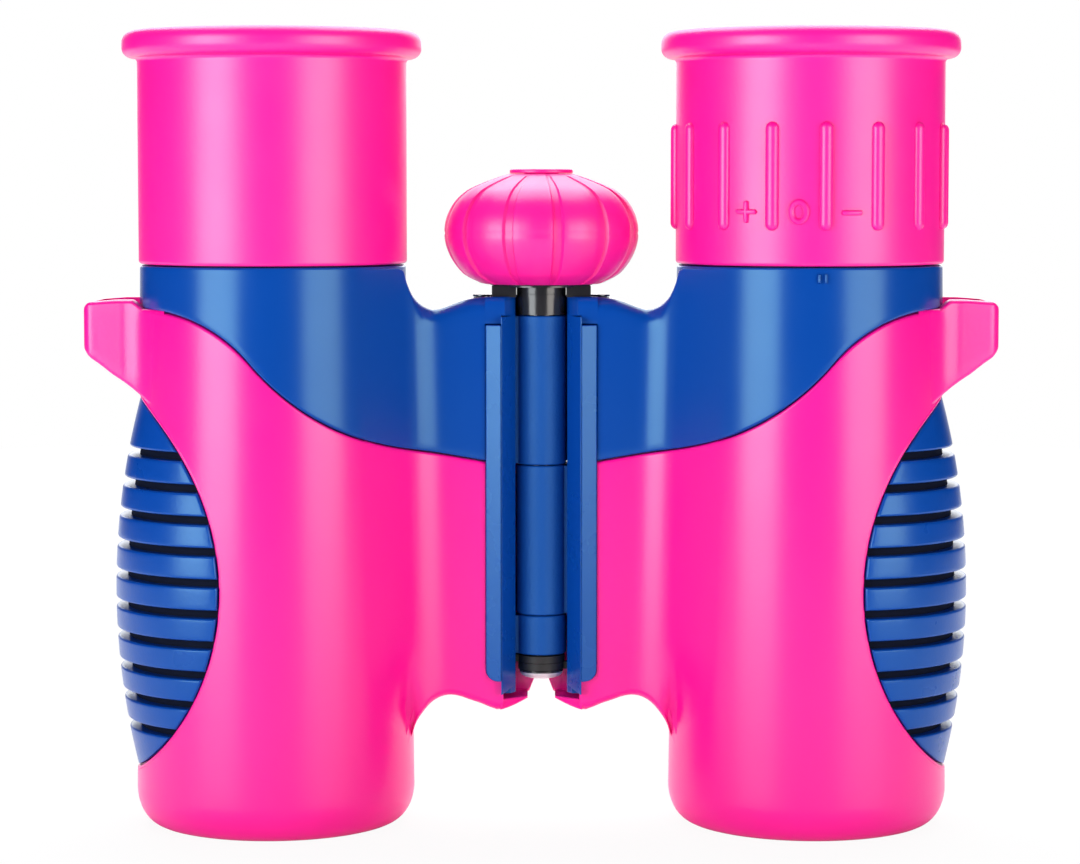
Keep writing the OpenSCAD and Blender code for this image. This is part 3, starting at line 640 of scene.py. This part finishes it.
def markBar(turn, z, wide, high, base):
    def place(i, j):
        a = 2 * pi * (i % bar["sides"]) / bar["sides"]
        c, s = cos(a), sin(a)
        p = max(abs(c), abs(s)) ** bar["square"]
        inset, lift = bar["rows"][j]
        x, y = (0, 0) if inset is None else (c / p * (wide / 2 - inset), s / p * (high / 2 - inset))
        return onBarrel(turn + degrees(x / base), z + y, base + lift)

    return wrapGrid("markBar", bar["sides"], len(bar["rows"]) - 1, place, caps=True)


# blue housing: neck, web above the sweep, hinge channel and knuckles
housing = dict(topRound=0.3, webRound=(0.3, 1.7), coreDrop=1.42, coreGap=0.05, coreFoot=5.2, coreTop=58, coreSample=8,
               wallPlan=((3.0, 2.8, 0), (3.0, -1.7, 0.3), (3.55, -2.85, 0), (6.6, -2.85, 0), (6.6, 2.8, 0)),
               wallZ=(15.2, 60.0), capX=(3.0, 3.3, 3.6, 3.9, 4.2, 4.6, 4.62, 5.0, 5.5, 6.0), capStep=4.61,
               capLow=(59.05, 58.1), capFront=1.7, capSlope=2.3, capRound=(0.1, 0.8), knuckleR=2.9, axleR=2.06,
               knuckleEdge=0.22, knuckleInset=0.1, knucklePlan=((2.3, -1.2), (4.2, -1.2), (4.2, 2.0), (2.1, 2.0)),
               hinge=(19.6, 58.95), splits=(24.21, 41.69), gap=0.1, tickZ=63.6, tickSize=(0.36, 1.1),
               ticks=(-0.6, 2.2))


def neckOutline(x):
    low, e, top, te = sweepHeight(x) + half["seam"], half["edge"], half["neckTop"], housing["topRound"]
    pts = [(half["bore"], low), (barrelRadius(low) - e, low)]
    pts += [(barrelRadius(low) - e + e * sin(a), low + e - e * cos(a)) for a in quarter(5)[1:]]
    pts += [(barrelRadius(z), z) for z in spaced(low + e, top - te, 12)[1:]]
    pts += [(barrelRadius(top) - te + te * cos(a), top - te + te * sin(a)) for a in quarter(4)[1:]]
    return pts + [(half["bore"], top)]


def knuckle(name, z0, z1):
    e, inset = housing["knuckleEdge"], housing["knuckleInset"]
    barrel = turned(name, rectangle((housing["axleR"], housing["knuckleR"]), (z0, z1), e, e, 4), steps=96)
    neck = planBlock(name + "Neck", housing["knucklePlan"], z0 + inset, z1 - inset)
    return painted(joined(name, barrel, neck), blueHinge)


def coreTube():
    inside, foot, top = half["bore"] + housing["coreGap"], housing["coreFoot"], housing["coreTop"]
    return turned("coreTube", [(inside, foot), (barrelRadius(housing["coreSample"]) - housing["coreDrop"], foot),
        (barrelRadius(top) - housing["coreDrop"], top), (inside, top)], half["axis"])


def channelCap():
    high, low = housing["capLow"]
    xs = (*housing["capX"], half["railSide"] + half["overlap"])
    return hingeBlock("channelCap", xs,
        lambda x: -min(half["webHalf"], housing["capFront"] + (x - xs[0]) * housing["capSlope"]),
        lambda x: high if x < housing["capStep"] else low, webForm["crest"][0][1], *housing["capRound"])


def housingBase():
    parts = [barrelShell("neckShell", neckOutline),
             webBlock("webTop", lambda x: sweepHeight(x) + half["seam"], webCrest, *housing["webRound"], 45),
             coreTube(), planBlock("channelWall", rounded(housing["wallPlan"], 3), *housing["wallZ"]), channelCap()]
    return [painted(part, blueHousing) for part in parts]


lowEnd, highEnd = housing["hinge"]
lowSplit, highSplit = housing["splits"]
gap = housing["gap"] / 2
ticks = [painted(markBar(turn, housing["tickZ"], *housing["tickSize"], barrelRadius(housing["tickZ"])), blueHousing)
         for turn in housing["ticks"]]
rightHousing = joined("rightHousing", *housingBase(), *ticks,
                      knuckle("rightKnuckle", lowSplit + gap, highSplit - gap))
leftBase = joined("leftBase", *housingBase(), knuckle("upperKnuckle", highSplit + gap, highEnd),
                  knuckle("lowerKnuckle", lowEnd, lowSplit - gap))
leftHousing = mirrored(leftBase, "leftHousing")
bpy.data.objects.remove(leftBase, do_unlink=True)
fit(rightHousing, None, "right_half", "housing_blue", "right_housing")
fit(leftHousing, None, "left_half", "housing_blue", "left_housing")
print("housings done")

# rails beside the hinge
rail = dict(plan=((3.05, -1.8), (4.5, -5.1), (4.62, -5.1), (4.62, -2.6), (3.05, -1.4)), z=(15.3, 58.95), midZ=30,
            slant=0.45, strip=(16.9, 58.0), stripY=(-3.0, -5.4), stripRound=1.3, frontY=-4, crest=4.62, side=6.38,
            sideY=-4.6, edges=(0.12, 0.14))


def hingeRail():
    slope = planBlock("railSlope", rail["plan"], *rail["z"])
    for v in slope.data.vertices:  # the lower end is cut at a slant
        if v.co.z < rail["midZ"] * mm:
            v.co.z += (rail["crest"] * mm - v.co.x) * rail["slant"]
    bevelled(slope, rail["edges"][0], 3, 30)
    face = rectangle((rail["crest"], rail["side"]), rail["strip"], rail["stripRound"], 0, 8)
    strip = frontBlock("railStrip", face, *rail["stripY"])
    crestY = rail["stripY"][1]
    lean = (rail["sideY"] - crestY) / (rail["side"] - rail["crest"])
    for v in strip.data.vertices:
        if v.co.y < rail["frontY"] * mm:
            v.co.y = crestY * mm + (v.co.x - rail["crest"] * mm) * lean
    bevelled(strip, rail["edges"][1], 3, 30)
    return joined("rightRail", slope, strip)


fitBoth(hingeRail(), blueRail, "rail_blue", "hinge_rail")
print("rails done")

# ribbed grips
grip = dict(axis=33.8, bulgeR=86.0, reach=15.6, bulgeZ=26.99, deep=1.35, edge=27.4, ribs=10, pitch=3.5, groove=0.95,
            firstGroove=43.02, edgeRound=0.28, mostDrop=0.7, ends=(0.0, 0.35, 0.75, 1.0), root=0.3, floorThick=0.45,
            floorShare=0.995, floorInset=0.4)


def bulge(z):
    return grip["reach"] - grip["bulgeR"] + sqrt(grip["bulgeR"] ** 2 - (z - grip["bulgeZ"]) ** 2)


def gripSpread(z, rho):            # half angle of the pad at height z, measured at the pad's own axis
    rest = grip["edge"] ** 2 - (z - armour["windowZ"]) ** 2
    if rest <= 0:
        return 0
    c = (armour["windowX"] - sqrt(rest) - grip["axis"]) / rho
    return acos(max(-1, min(1, c)))


def padTip(up):                    # height where the window edge reaches the pad's outermost line
    lo, hi = 0, 26
    for n in range(40):
        mid = (lo + hi) / 2
        z = armour["windowZ"] + up * mid
        if gripSpread(z, bulge(z)) > 0:
            lo = mid
        else:
            hi = mid
    return armour["windowZ"] + up * lo


def gripRib(name, z0, z1, tip=0, columns=44):            # tip is 1 or -1 at the pad's pointed ends
    e, rows = grip["edgeRound"], 14 if tip else 5
    share = spaced(0, 1, rows)
    if tip > 0:
        share = [sin(pi / 2 * t) for t in share]
    if tip < 0:
        share = [1 - cos(pi / 2 * t) for t in share]
    low, top = z0 + (0 if tip < 0 else e), z1 - (0 if tip > 0 else e)
    ring = [(None, z0 + 1e-4)]     # (depth below the outer face, z), no depth on the hidden root
    if tip >= 0:
        ring += [(e * (1 - sin(a)), z0 + e * (1 - cos(a))) for a in quarter(4)]
    ring += [(0, low + (top - low) * t) for t in share[0 if tip < 0 else 1:-1]]
    if tip <= 0:
        ring += [(e * (1 - cos(a)), z1 - e * (1 - sin(a))) for a in quarter(4)]
    else:
        ring.append((0, z1))
    ring += [(None, z1 - 1e-4), ring[0]]
    ends = grip["ends"]
    last = len(ends) - 1

    def place(i, j):
        depth, z = ring[j]
        rho = bulge(z)
        spread = gripSpread(z, rho)
        fromEnd = min(i, columns - i)
        arc = e / max(rho, 1)
        if fromEnd <= last:        # round end of the rib
            t = ends[fromEnd] * pi / 2
            a = spread - min(arc, spread) * (1 - cos(t))
            drop = min(grip["mostDrop"], e * (1 - sin(t)))
        else:
            a = max(spread - arc, 0) * (1 - 2 * (fromEnd - last) / (columns - 2 * last))
            drop = 0
        a = a if i <= columns - i else -a
        r = rho - (grip["deep"] + grip["root"] if depth is None else max(depth, drop))
        return grip["axis"] + r * cos(a), -r * sin(a), z

    return painted(wrapGrid(name, columns, len(ring) - 1, place, caps=True), blueGrip)


# dark sheet at the floor of the grooves between the grip ribs: painted shade
def gripFloor(rows=40, columns=36):
    low, top = padTip(-1) + grip["floorInset"], padTip(1) - grip["floorInset"]
    zs = [low + (top - low) * (0.5 - 0.5 * cos(pi * k / rows)) for k in range(rows + 1)]
    loop = [(z, 0) for z in zs] + [(z, grip["floorThick"]) for z in zs[::-1]] + [(zs[0], 0)]

    def place(i, j):
        z, thick = loop[j]
        a = gripSpread(z, bulge(z)) * (1 - 2 * i / columns) * grip["floorShare"]
        r = bulge(z) - grip["deep"] - thick
        return grip["axis"] + r * cos(a), -r * sin(a), z

    return painted(wrapGrid("gripFloor", columns, len(loop) - 1, place, caps=True), paintedGrooveShade)


def makeGrip():
    pieces = [gripFloor(), gripRib("gripTop", grip["firstGroove"] + grip["groove"], padTip(1), tip=1)]
    for k in range(grip["ribs"] - 1):
        z = grip["firstGroove"] - k * grip["pitch"]
        pieces.append(gripRib("gripRib%d" % k, z - grip["pitch"] + grip["groove"], z))
    lowest = grip["firstGroove"] - (grip["ribs"] - 1) * grip["pitch"]
    pieces.append(gripRib("gripTip", padTip(-1), lowest, tip=-1))
    return joined("rightGrip", *pieces)


fitBoth(makeGrip(), None, "grip_blue", "grip")
print("grips done")

# eyecups, the right one with ribs and dial marks
cup = dict(inner=13.9, outer=15.45, foot=64.95, flangeR=17.2, top=91.55, flangeH=3.1, opening=11.9, ribs=16, ribR=0.75,
           ribTall=0.85, ribZ=(68.9, 81.0), ribTurn=2.0, skin=0.02, markZ=71.0, plusTurn=-31.9, plus=(2.6, 2.5),
           stroke=0.6, ringTurn=-9.25, ring=(2.4, 2.9), ringThick=0.72, ringTall=0.38, minusTurn=12.9, minus=2.4,
           minusDrop=0.1, bends=(0, 0.4, 0.5, 1.2, 1.4, 1.3, 0.4, 0.3))


def cupOutline():
    foot, top, under = cup["foot"], cup["top"], cup["top"] - cup["flangeH"]
    corners = ((cup["inner"], foot), (cup["outer"], foot), (cup["outer"], under), (cup["flangeR"], under),
               (cup["flangeR"], top), (cup["opening"], top), (cup["opening"], under), (cup["inner"], under))
    return rounded([(*c, bend) for c, bend in zip(corners, cup["bends"])], 7)


def cupRib(turn, sides=20):
    z0, z1 = cup["ribZ"]
    r = cup["ribR"]
    stations = [(z0 + r - r * cos(a), r * sin(a)) for a in quarter(6)]
    stations += [(z, r) for z in spaced(z0, z1, 4)[1:-1]]
    stations += [(z1 - r + r * sin(a), r * cos(a)) for a in quarter(6)]

    def place(i, j):
        z, s = stations[j]
        a = 2 * pi * (i % sides) / sides
        across, out = s * cos(a), s * cup["ribTall"] * sin(a)
        return onBarrel(turn + degrees(across / cup["outer"]), z, cup["outer"] + cup["skin"] + out)

    return wrapGrid("cupRib", sides, len(stations) - 1, place)


def markRing(turn, z, wide, high, thick, around=40, sides=10):
    def place(i, j):
        a, b = 2 * pi * (i % around) / around, 2 * pi * (j % sides) / sides
        w, h = (size / 2 - thick / 2 + thick / 2 * cos(b) for size in (wide, high))
        r = cup["outer"] + cup["skin"] + cup["ringTall"] * sin(b)
        return onBarrel(turn + degrees(w * sin(a) / cup["outer"]), z + h * cos(a), r)

    return wrapGrid("markRing", around, sides, place)


leftEyecup = turned("leftEyecup", cupOutline(), -half["axis"], 192)
fit(leftEyecup, pinkCup, "left_half", "eyecup_pink", "left_eyecup")
ring = turned("dioptreCup", cupOutline(), half["axis"], 192)
ribs = [cupRib(cup["ribTurn"] + 360 / cup["ribs"] * k) for k in range(cup["ribs"])]
plusWide, plusHigh = cup["plus"]
marks = [markBar(cup["plusTurn"], cup["markZ"], plusWide, cup["stroke"], cup["outer"]),
         markBar(cup["plusTurn"], cup["markZ"], cup["stroke"], plusHigh, cup["outer"]),
         markRing(cup["ringTurn"], cup["markZ"], *cup["ring"], cup["ringThick"]),
         markBar(cup["minusTurn"], cup["markZ"] - cup["minusDrop"], cup["minus"], cup["stroke"], cup["outer"])]
dioptreCup = joined("dioptreCup", ring, *ribs, *marks)
fit(dioptreCup, pinkCup, "diopter_ring", "eyecup_pink", "diopter_eyecup")
print("eyecups done")

# focus knob with its cap, collar and washer
knob = dict(grooves=12, phase=10.0, wide=1.45, deep=0.42, lift=0.45, widest=11.2, soft=0.4, puff=0.10, margin=0.8,
            fadeR=(3.6, 1.6), fadeZ=(61.9, 0.3), seamZ=67.9, seamHalf=0.12, seamDeep=0.07,
            fine=(0, 0.18, 0.34, 0.4, 0.46, 0.52, 0.58, 0.68, 0.9, 1.4, 2.2, 3.4),   # from a groove's middle
            start=(4.4, 66.0), inside=((2.0, 74.86), (2.0, 73.0), (4.4, 73.0)),
            form=((4.4, 62.15), (6.6, 62.15), (7.6, 62.5), (8.6, 63.0), (9.32, 63.55), (10.19, 64.66),
                  (10.78, 65.77), (11.13, 66.9), (11.24, 68.0), (11.13, 69.25), (10.72, 70.5), (9.95, 71.75),
                  (8.8, 72.8), (7.6, 73.45), (6.3, 73.98), (5.0, 74.43), (3.95, 74.74), (3.5, 74.86)),
            cap=((0, 73.35, 0), (1.95, 73.35, 0), (1.95, 75.35, 0), (3.65, 75.35, 0.1), (3.65, 75.8, 0.2),
                 (0, 75.8, 0)))
collar = dict(r=(2.06, 2.85), ring=(61.4, 62.55), shaft=(59.05, 61.5), bossR=(3.5, 4.5), boss=(62.25, 66.45),
              washerR=(2.9, 5.9), washer=(62.47, 62.55), washerEdge=0.03)


def smoothLine(pts, per=4):        # a smooth line through points
    out = []
    for i in range(len(pts) - 1):
        p0, p1, p2, p3 = pts[max(i - 1, 0)], pts[i], pts[i + 1], pts[min(i + 2, len(pts) - 1)]
        for k in range(per):
            t = k / per
            out.append(tuple(0.5 * (2 * b + (c - a) * t + (2 * a - 5 * b + 4 * c - d) * t * t
                + (3 * b - a - 3 * c + d) * t ** 3) for a, b, c, d in zip(p0, p1, p2, p3)))
    return out + [pts[-1]]


def makeKnob():
    line = smoothLine(knob["form"])
    outline = [knob["start"], *line, *knob["inside"]]
    halfStep = 180 / knob["grooves"]
    offs = [degrees(d / knob["widest"]) for d in knob["fine"]]
    offs = [o for o in offs if o < halfStep - knob["margin"]]
    turns = []
    for k in range(knob["grooves"]):
        mid = knob["phase"] + 360 / knob["grooves"] * k
        turns += [mid - o for o in offs[:0:-1]] + [mid + o for o in offs] + [mid + halfStep]
    n = len(turns)

    def place(i, j):
        r, z = outline[j % len(outline)]
        t = turns[i % n]
        if 0 < j <= len(line):
            off = ((t - knob["phase"] + halfStep) % (2 * halfStep)) - halfStep
            d = abs(radians(off)) * knob["widest"] / (knob["wide"] / 2)
            depth = knob["deep"] * ease((1 - d) / knob["soft"])
            puff = knob["puff"] * (1 - abs(off) / halfStep)          # flutes swell a little between grooves
            fade = 1
            for value, (first, run) in ((r, knob["fadeR"]), (z, knob["fadeZ"])):
                fade *= max(0, min(1, (value - first) / run))
            seam = knob["seamDeep"] if abs(z - knob["seamZ"]) < knob["seamHalf"] else 0
            r -= (depth + puff) * fade + seam
        a = radians(t)
        return r * sin(a), -r * cos(a), z + knob["lift"]

    return wrapGrid("focusKnob", n, len(outline), place)


fit(makeKnob(), pinkKnob, "focus_knob", "knob_pink", "focus_knob")
knobCap = turned("knobCap", rounded(knob["cap"], 4), steps=96)
fit(knobCap, pinkKnob, "focus_knob", "knob_pink", "knob_cap")
collarRing = turned("collarRing", rectangle(collar["r"], collar["ring"]), steps=96)
shaft = turned("collarShaft", rectangle(collar["r"], collar["shaft"]), steps=96)
boss = turned("collarBoss", rectangle(collar["bossR"], collar["boss"]), steps=96)
fit(joined("knobCollar", collarRing, shaft, boss), blackGloss, "focus_knob", "collar_black", "knob_collar")
edge = collar["washerEdge"]
washer = turned("knobWasher", rectangle(collar["washerR"], collar["washer"], edge, edge, 3), steps=128)
fit(washer, blackGloss, "focus_knob", "collar_black", "knob_washer")

# thin steel plates on the web under the knob, one on each half
plate = dict(x=(5.5, 7.9), y=(-2.0, 2.0), z=(61.15, 61.4), bend=1.2, edge=0.06)
rightPlate = planBlock("rightPlate", rectangle(plate["x"], plate["y"], plate["bend"], plate["bend"]), *plate["z"])
fitBoth(bevelled(rightPlate, plate["edge"], 2, 40), steelDark, "steel_black")

# black pads on the web, beside the shaft
pad = dict(x=(2.9, 5.7), y=(-2.6, 2.6), z=(61.1, 62.42), edge=0.08)
rightPad = planBlock("rightPad", rectangle(pad["x"], pad["y"]), *pad["z"])
fitBoth(bevelled(rightPad, pad["edge"], 2, 40), blackGloss, "black_plastic")

# end of the focus rod: black band over a bright domed end
rodEnd = dict(r=(1.17, 2.55), band=(17.42, 17.7), edges=(0.08, 0.1), low=16.6, domeTop=(2.48, 17.47),
              dome=((0, 0), (0.8, 0.02), (1.5, 0.1), (2.0, 0.24), (2.3, 0.42), (2.45, 0.62)))
band = turned("rodBand", rectangle(rodEnd["r"], rodEnd["band"], *rodEnd["edges"], 3), steps=72)
domeR, domeZ = rodEnd["domeTop"]
domeLine = [(r, rodEnd["low"] + z) for r, z in rodEnd["dome"]] + [(domeR, domeZ), (0, domeZ)]
dome = turned("rodDome", domeLine, steps=72)
rodTip = joined("rodEndNut", painted(band, blackGloss), painted(dome, steelSatin))
fit(rodTip, None, "left_objective", "steel_black", "rod_end_nut")
print("knob done")

# finishes of the nodes that stay as they are
singles = {"hinge_axle": steelDark, "axle_clip": steelBright, "knob_nut": brassTurned, "focus_rod": steelBright,
           "right_neck_sleeve": blackMatte, "diopter_key_pin": steelBright}
pairs = {"focus_arm": blackMatte, "objective_cell": blackMatte, "objective_lens": lensClear,
         "objective_ring": blackMatte, "front_bezel": blackMatte, "prism_cage": blackMatte, "half_prism": prismClear,
         "roof_prism": prismClear, "eyepiece_tube": blackMatte, "field_lens": lensClear, "lens_spacer": blackMatte,
         "eye_lens": lensClear, "lens_retainer": blackMatte}
finishOf = {**singles, **{side + n: mat for n, mat in pairs.items() for side in ("left_", "right_")}}
for name, mat in finishOf.items():
    painted(cadNodes[name], mat)
print("kept nodes finished", len(finishOf))

# floor, light and camera
stage = dict(eye=(-0.15, -370, 74), aim=(-0.15, 0, 45.37), focal=3195, frame=1080, sensor=36, floorSize=0.45,
             floorAt=(0, 0.1, -0.00005), floorWhite=0.94, floorGloss=0.08, fill=0.1, front=0.0, lampAim=(0, 0, 0.045))


def paleFloor():                   # white to the camera, with a soft shadow left in
    mat = bpy.data.materials.new("paleFloor")
    mat.use_nodes = True
    nd, ln = mat.node_tree.nodes, mat.node_tree.links
    bsdf = nd["Principled BSDF"]
    bsdf.inputs["Roughness"].default_value = 0.9
    where = newNode(nd, "TexCoord")
    grain = newNode(nd, "TexNoise", scale=40)
    tint = mapRange(nd, 0.0, 1.0, 0.84, 0.88)
    ray = newNode(nd, "LightPath")
    seen = mathNode(nd, "MAXIMUM")
    gloss = mathNode(nd, "MULTIPLY", stage["floorGloss"])
    every = mathNode(nd, "MAXIMUM")
    share = mathNode(nd, "MULTIPLY", stage["floorWhite"])
    white = newNode(nd, "Emission")
    blend = newNode(nd, "MixShader")
    ln.new(where.outputs["Object"], grain.inputs["Vector"])
    ln.new(grain.outputs["Fac"], tint.inputs["Value"])
    ln.new(tint.outputs["Result"], bsdf.inputs["Base Color"])
    ln.new(ray.outputs["Is Camera Ray"], seen.inputs[0])
    ln.new(ray.outputs["Is Transmission Ray"], seen.inputs[1])
    ln.new(ray.outputs["Is Glossy Ray"], gloss.inputs[0])
    ln.new(seen.outputs["Value"], every.inputs[0])
    ln.new(gloss.outputs["Value"], every.inputs[1])
    ln.new(every.outputs["Value"], share.inputs[0])
    ln.new(share.outputs["Value"], blend.inputs["Fac"])
    ln.new(bsdf.outputs["BSDF"], blend.inputs[1])
    ln.new(white.outputs["Emission"], blend.inputs[2])
    ln.new(blend.outputs["Shader"], nd["Material Output"].inputs["Surface"])
    return mat


pick()
bpy.ops.mesh.primitive_circle_add(vertices=96, radius=stage["floorSize"], fill_type="NGON",
    location=stage["floorAt"])
floor = named("floor")
floor.data.materials.append(paleFloor())


def studioWorld():                 # white behind the object, dim towards the camera, a soft fill all round
    world = bpy.data.worlds.new("studio")
    scene.world = world
    world.use_nodes = True
    nd, ln = world.node_tree.nodes, world.node_tree.links
    fill = nd["Background"]
    fill.inputs["Strength"].default_value = stage["fill"]
    room = newNode(nd, "Background")
    white = newNode(nd, "Background")
    for shade in (fill, room, white):
        shade.inputs["Color"].default_value = (1, 1, 1, 1)
    ray = newNode(nd, "LightPath")
    where = newNode(nd, "TexCoord")
    parts = newNode(nd, "SeparateXYZ")
    depth = mapRange(nd, 0.8, 0.98, stage["front"], 1.0)
    both = mathNode(nd, "MAXIMUM")
    first = newNode(nd, "MixShader")
    last = newNode(nd, "MixShader")
    ln.new(where.outputs["Generated"], parts.inputs["Vector"])
    ln.new(parts.outputs["Y"], depth.inputs["Value"])
    ln.new(depth.outputs["Result"], room.inputs["Strength"])
    ln.new(ray.outputs["Is Glossy Ray"], both.inputs[0])
    ln.new(ray.outputs["Is Transmission Ray"], both.inputs[1])
    ln.new(both.outputs["Value"], first.inputs["Fac"])
    ln.new(fill.outputs["Background"], first.inputs[1])
    ln.new(room.outputs["Background"], first.inputs[2])
    ln.new(ray.outputs["Is Camera Ray"], last.inputs["Fac"])
    ln.new(first.outputs["Shader"], last.inputs[1])
    ln.new(white.outputs["Background"], last.inputs[2])
    ln.new(last.outputs["Shader"], nd["World Output"].inputs["Surface"])


studioWorld()


def softbox(name, turn, height, dist, wide, tall, power, colour=(1.0, 1.0, 1.0)):    # metres, turn from the front
    a = radians(turn)
    pick()
    bpy.ops.object.light_add(type="AREA", location=(dist * sin(a), -dist * cos(a), height))
    lamp = bpy.context.object
    lamp.name = name
    lamp.data.shape = "RECTANGLE"
    lamp.data.size = wide
    lamp.data.size_y = tall
    lamp.data.energy = power
    lamp.data.color = colour
    lamp.visible_camera = False
    lamp.rotation_euler = (Vector(stage["lampAim"]) - lamp.location).to_track_quat("-Z", "Y").to_euler()


softbox("leftSoftbox", -45, 0.14, 0.9, 0.54, 0.52, 7.8, (0.92, 0.97, 1.0))
softbox("rightSoftbox", 45, 0.1, 0.9, 0.56, 0.6, 6.8, (1.0, 0.94, 0.88))
softbox("topSoftbox", 180, 0.8, 0.4, 0.9, 0.9, 13.0)
softbox("backSoftbox", 180, 0.35, 1.0, 0.9, 0.5, 3.0)

pick()
aim = Vector(stage["aim"]) * mm
bpy.ops.object.camera_add(location=Vector(stage["eye"]) * mm)
camera = bpy.context.object
camera.rotation_euler = (aim - camera.location).to_track_quat("-Z", "Y").to_euler()
camera.data.sensor_width = stage["sensor"]
camera.data.lens = stage["focal"] / stage["frame"] * stage["sensor"]
camera.data.clip_start = 0.01
scene.camera = camera
scene.view_settings.view_transform = "Standard"
print("stage set")
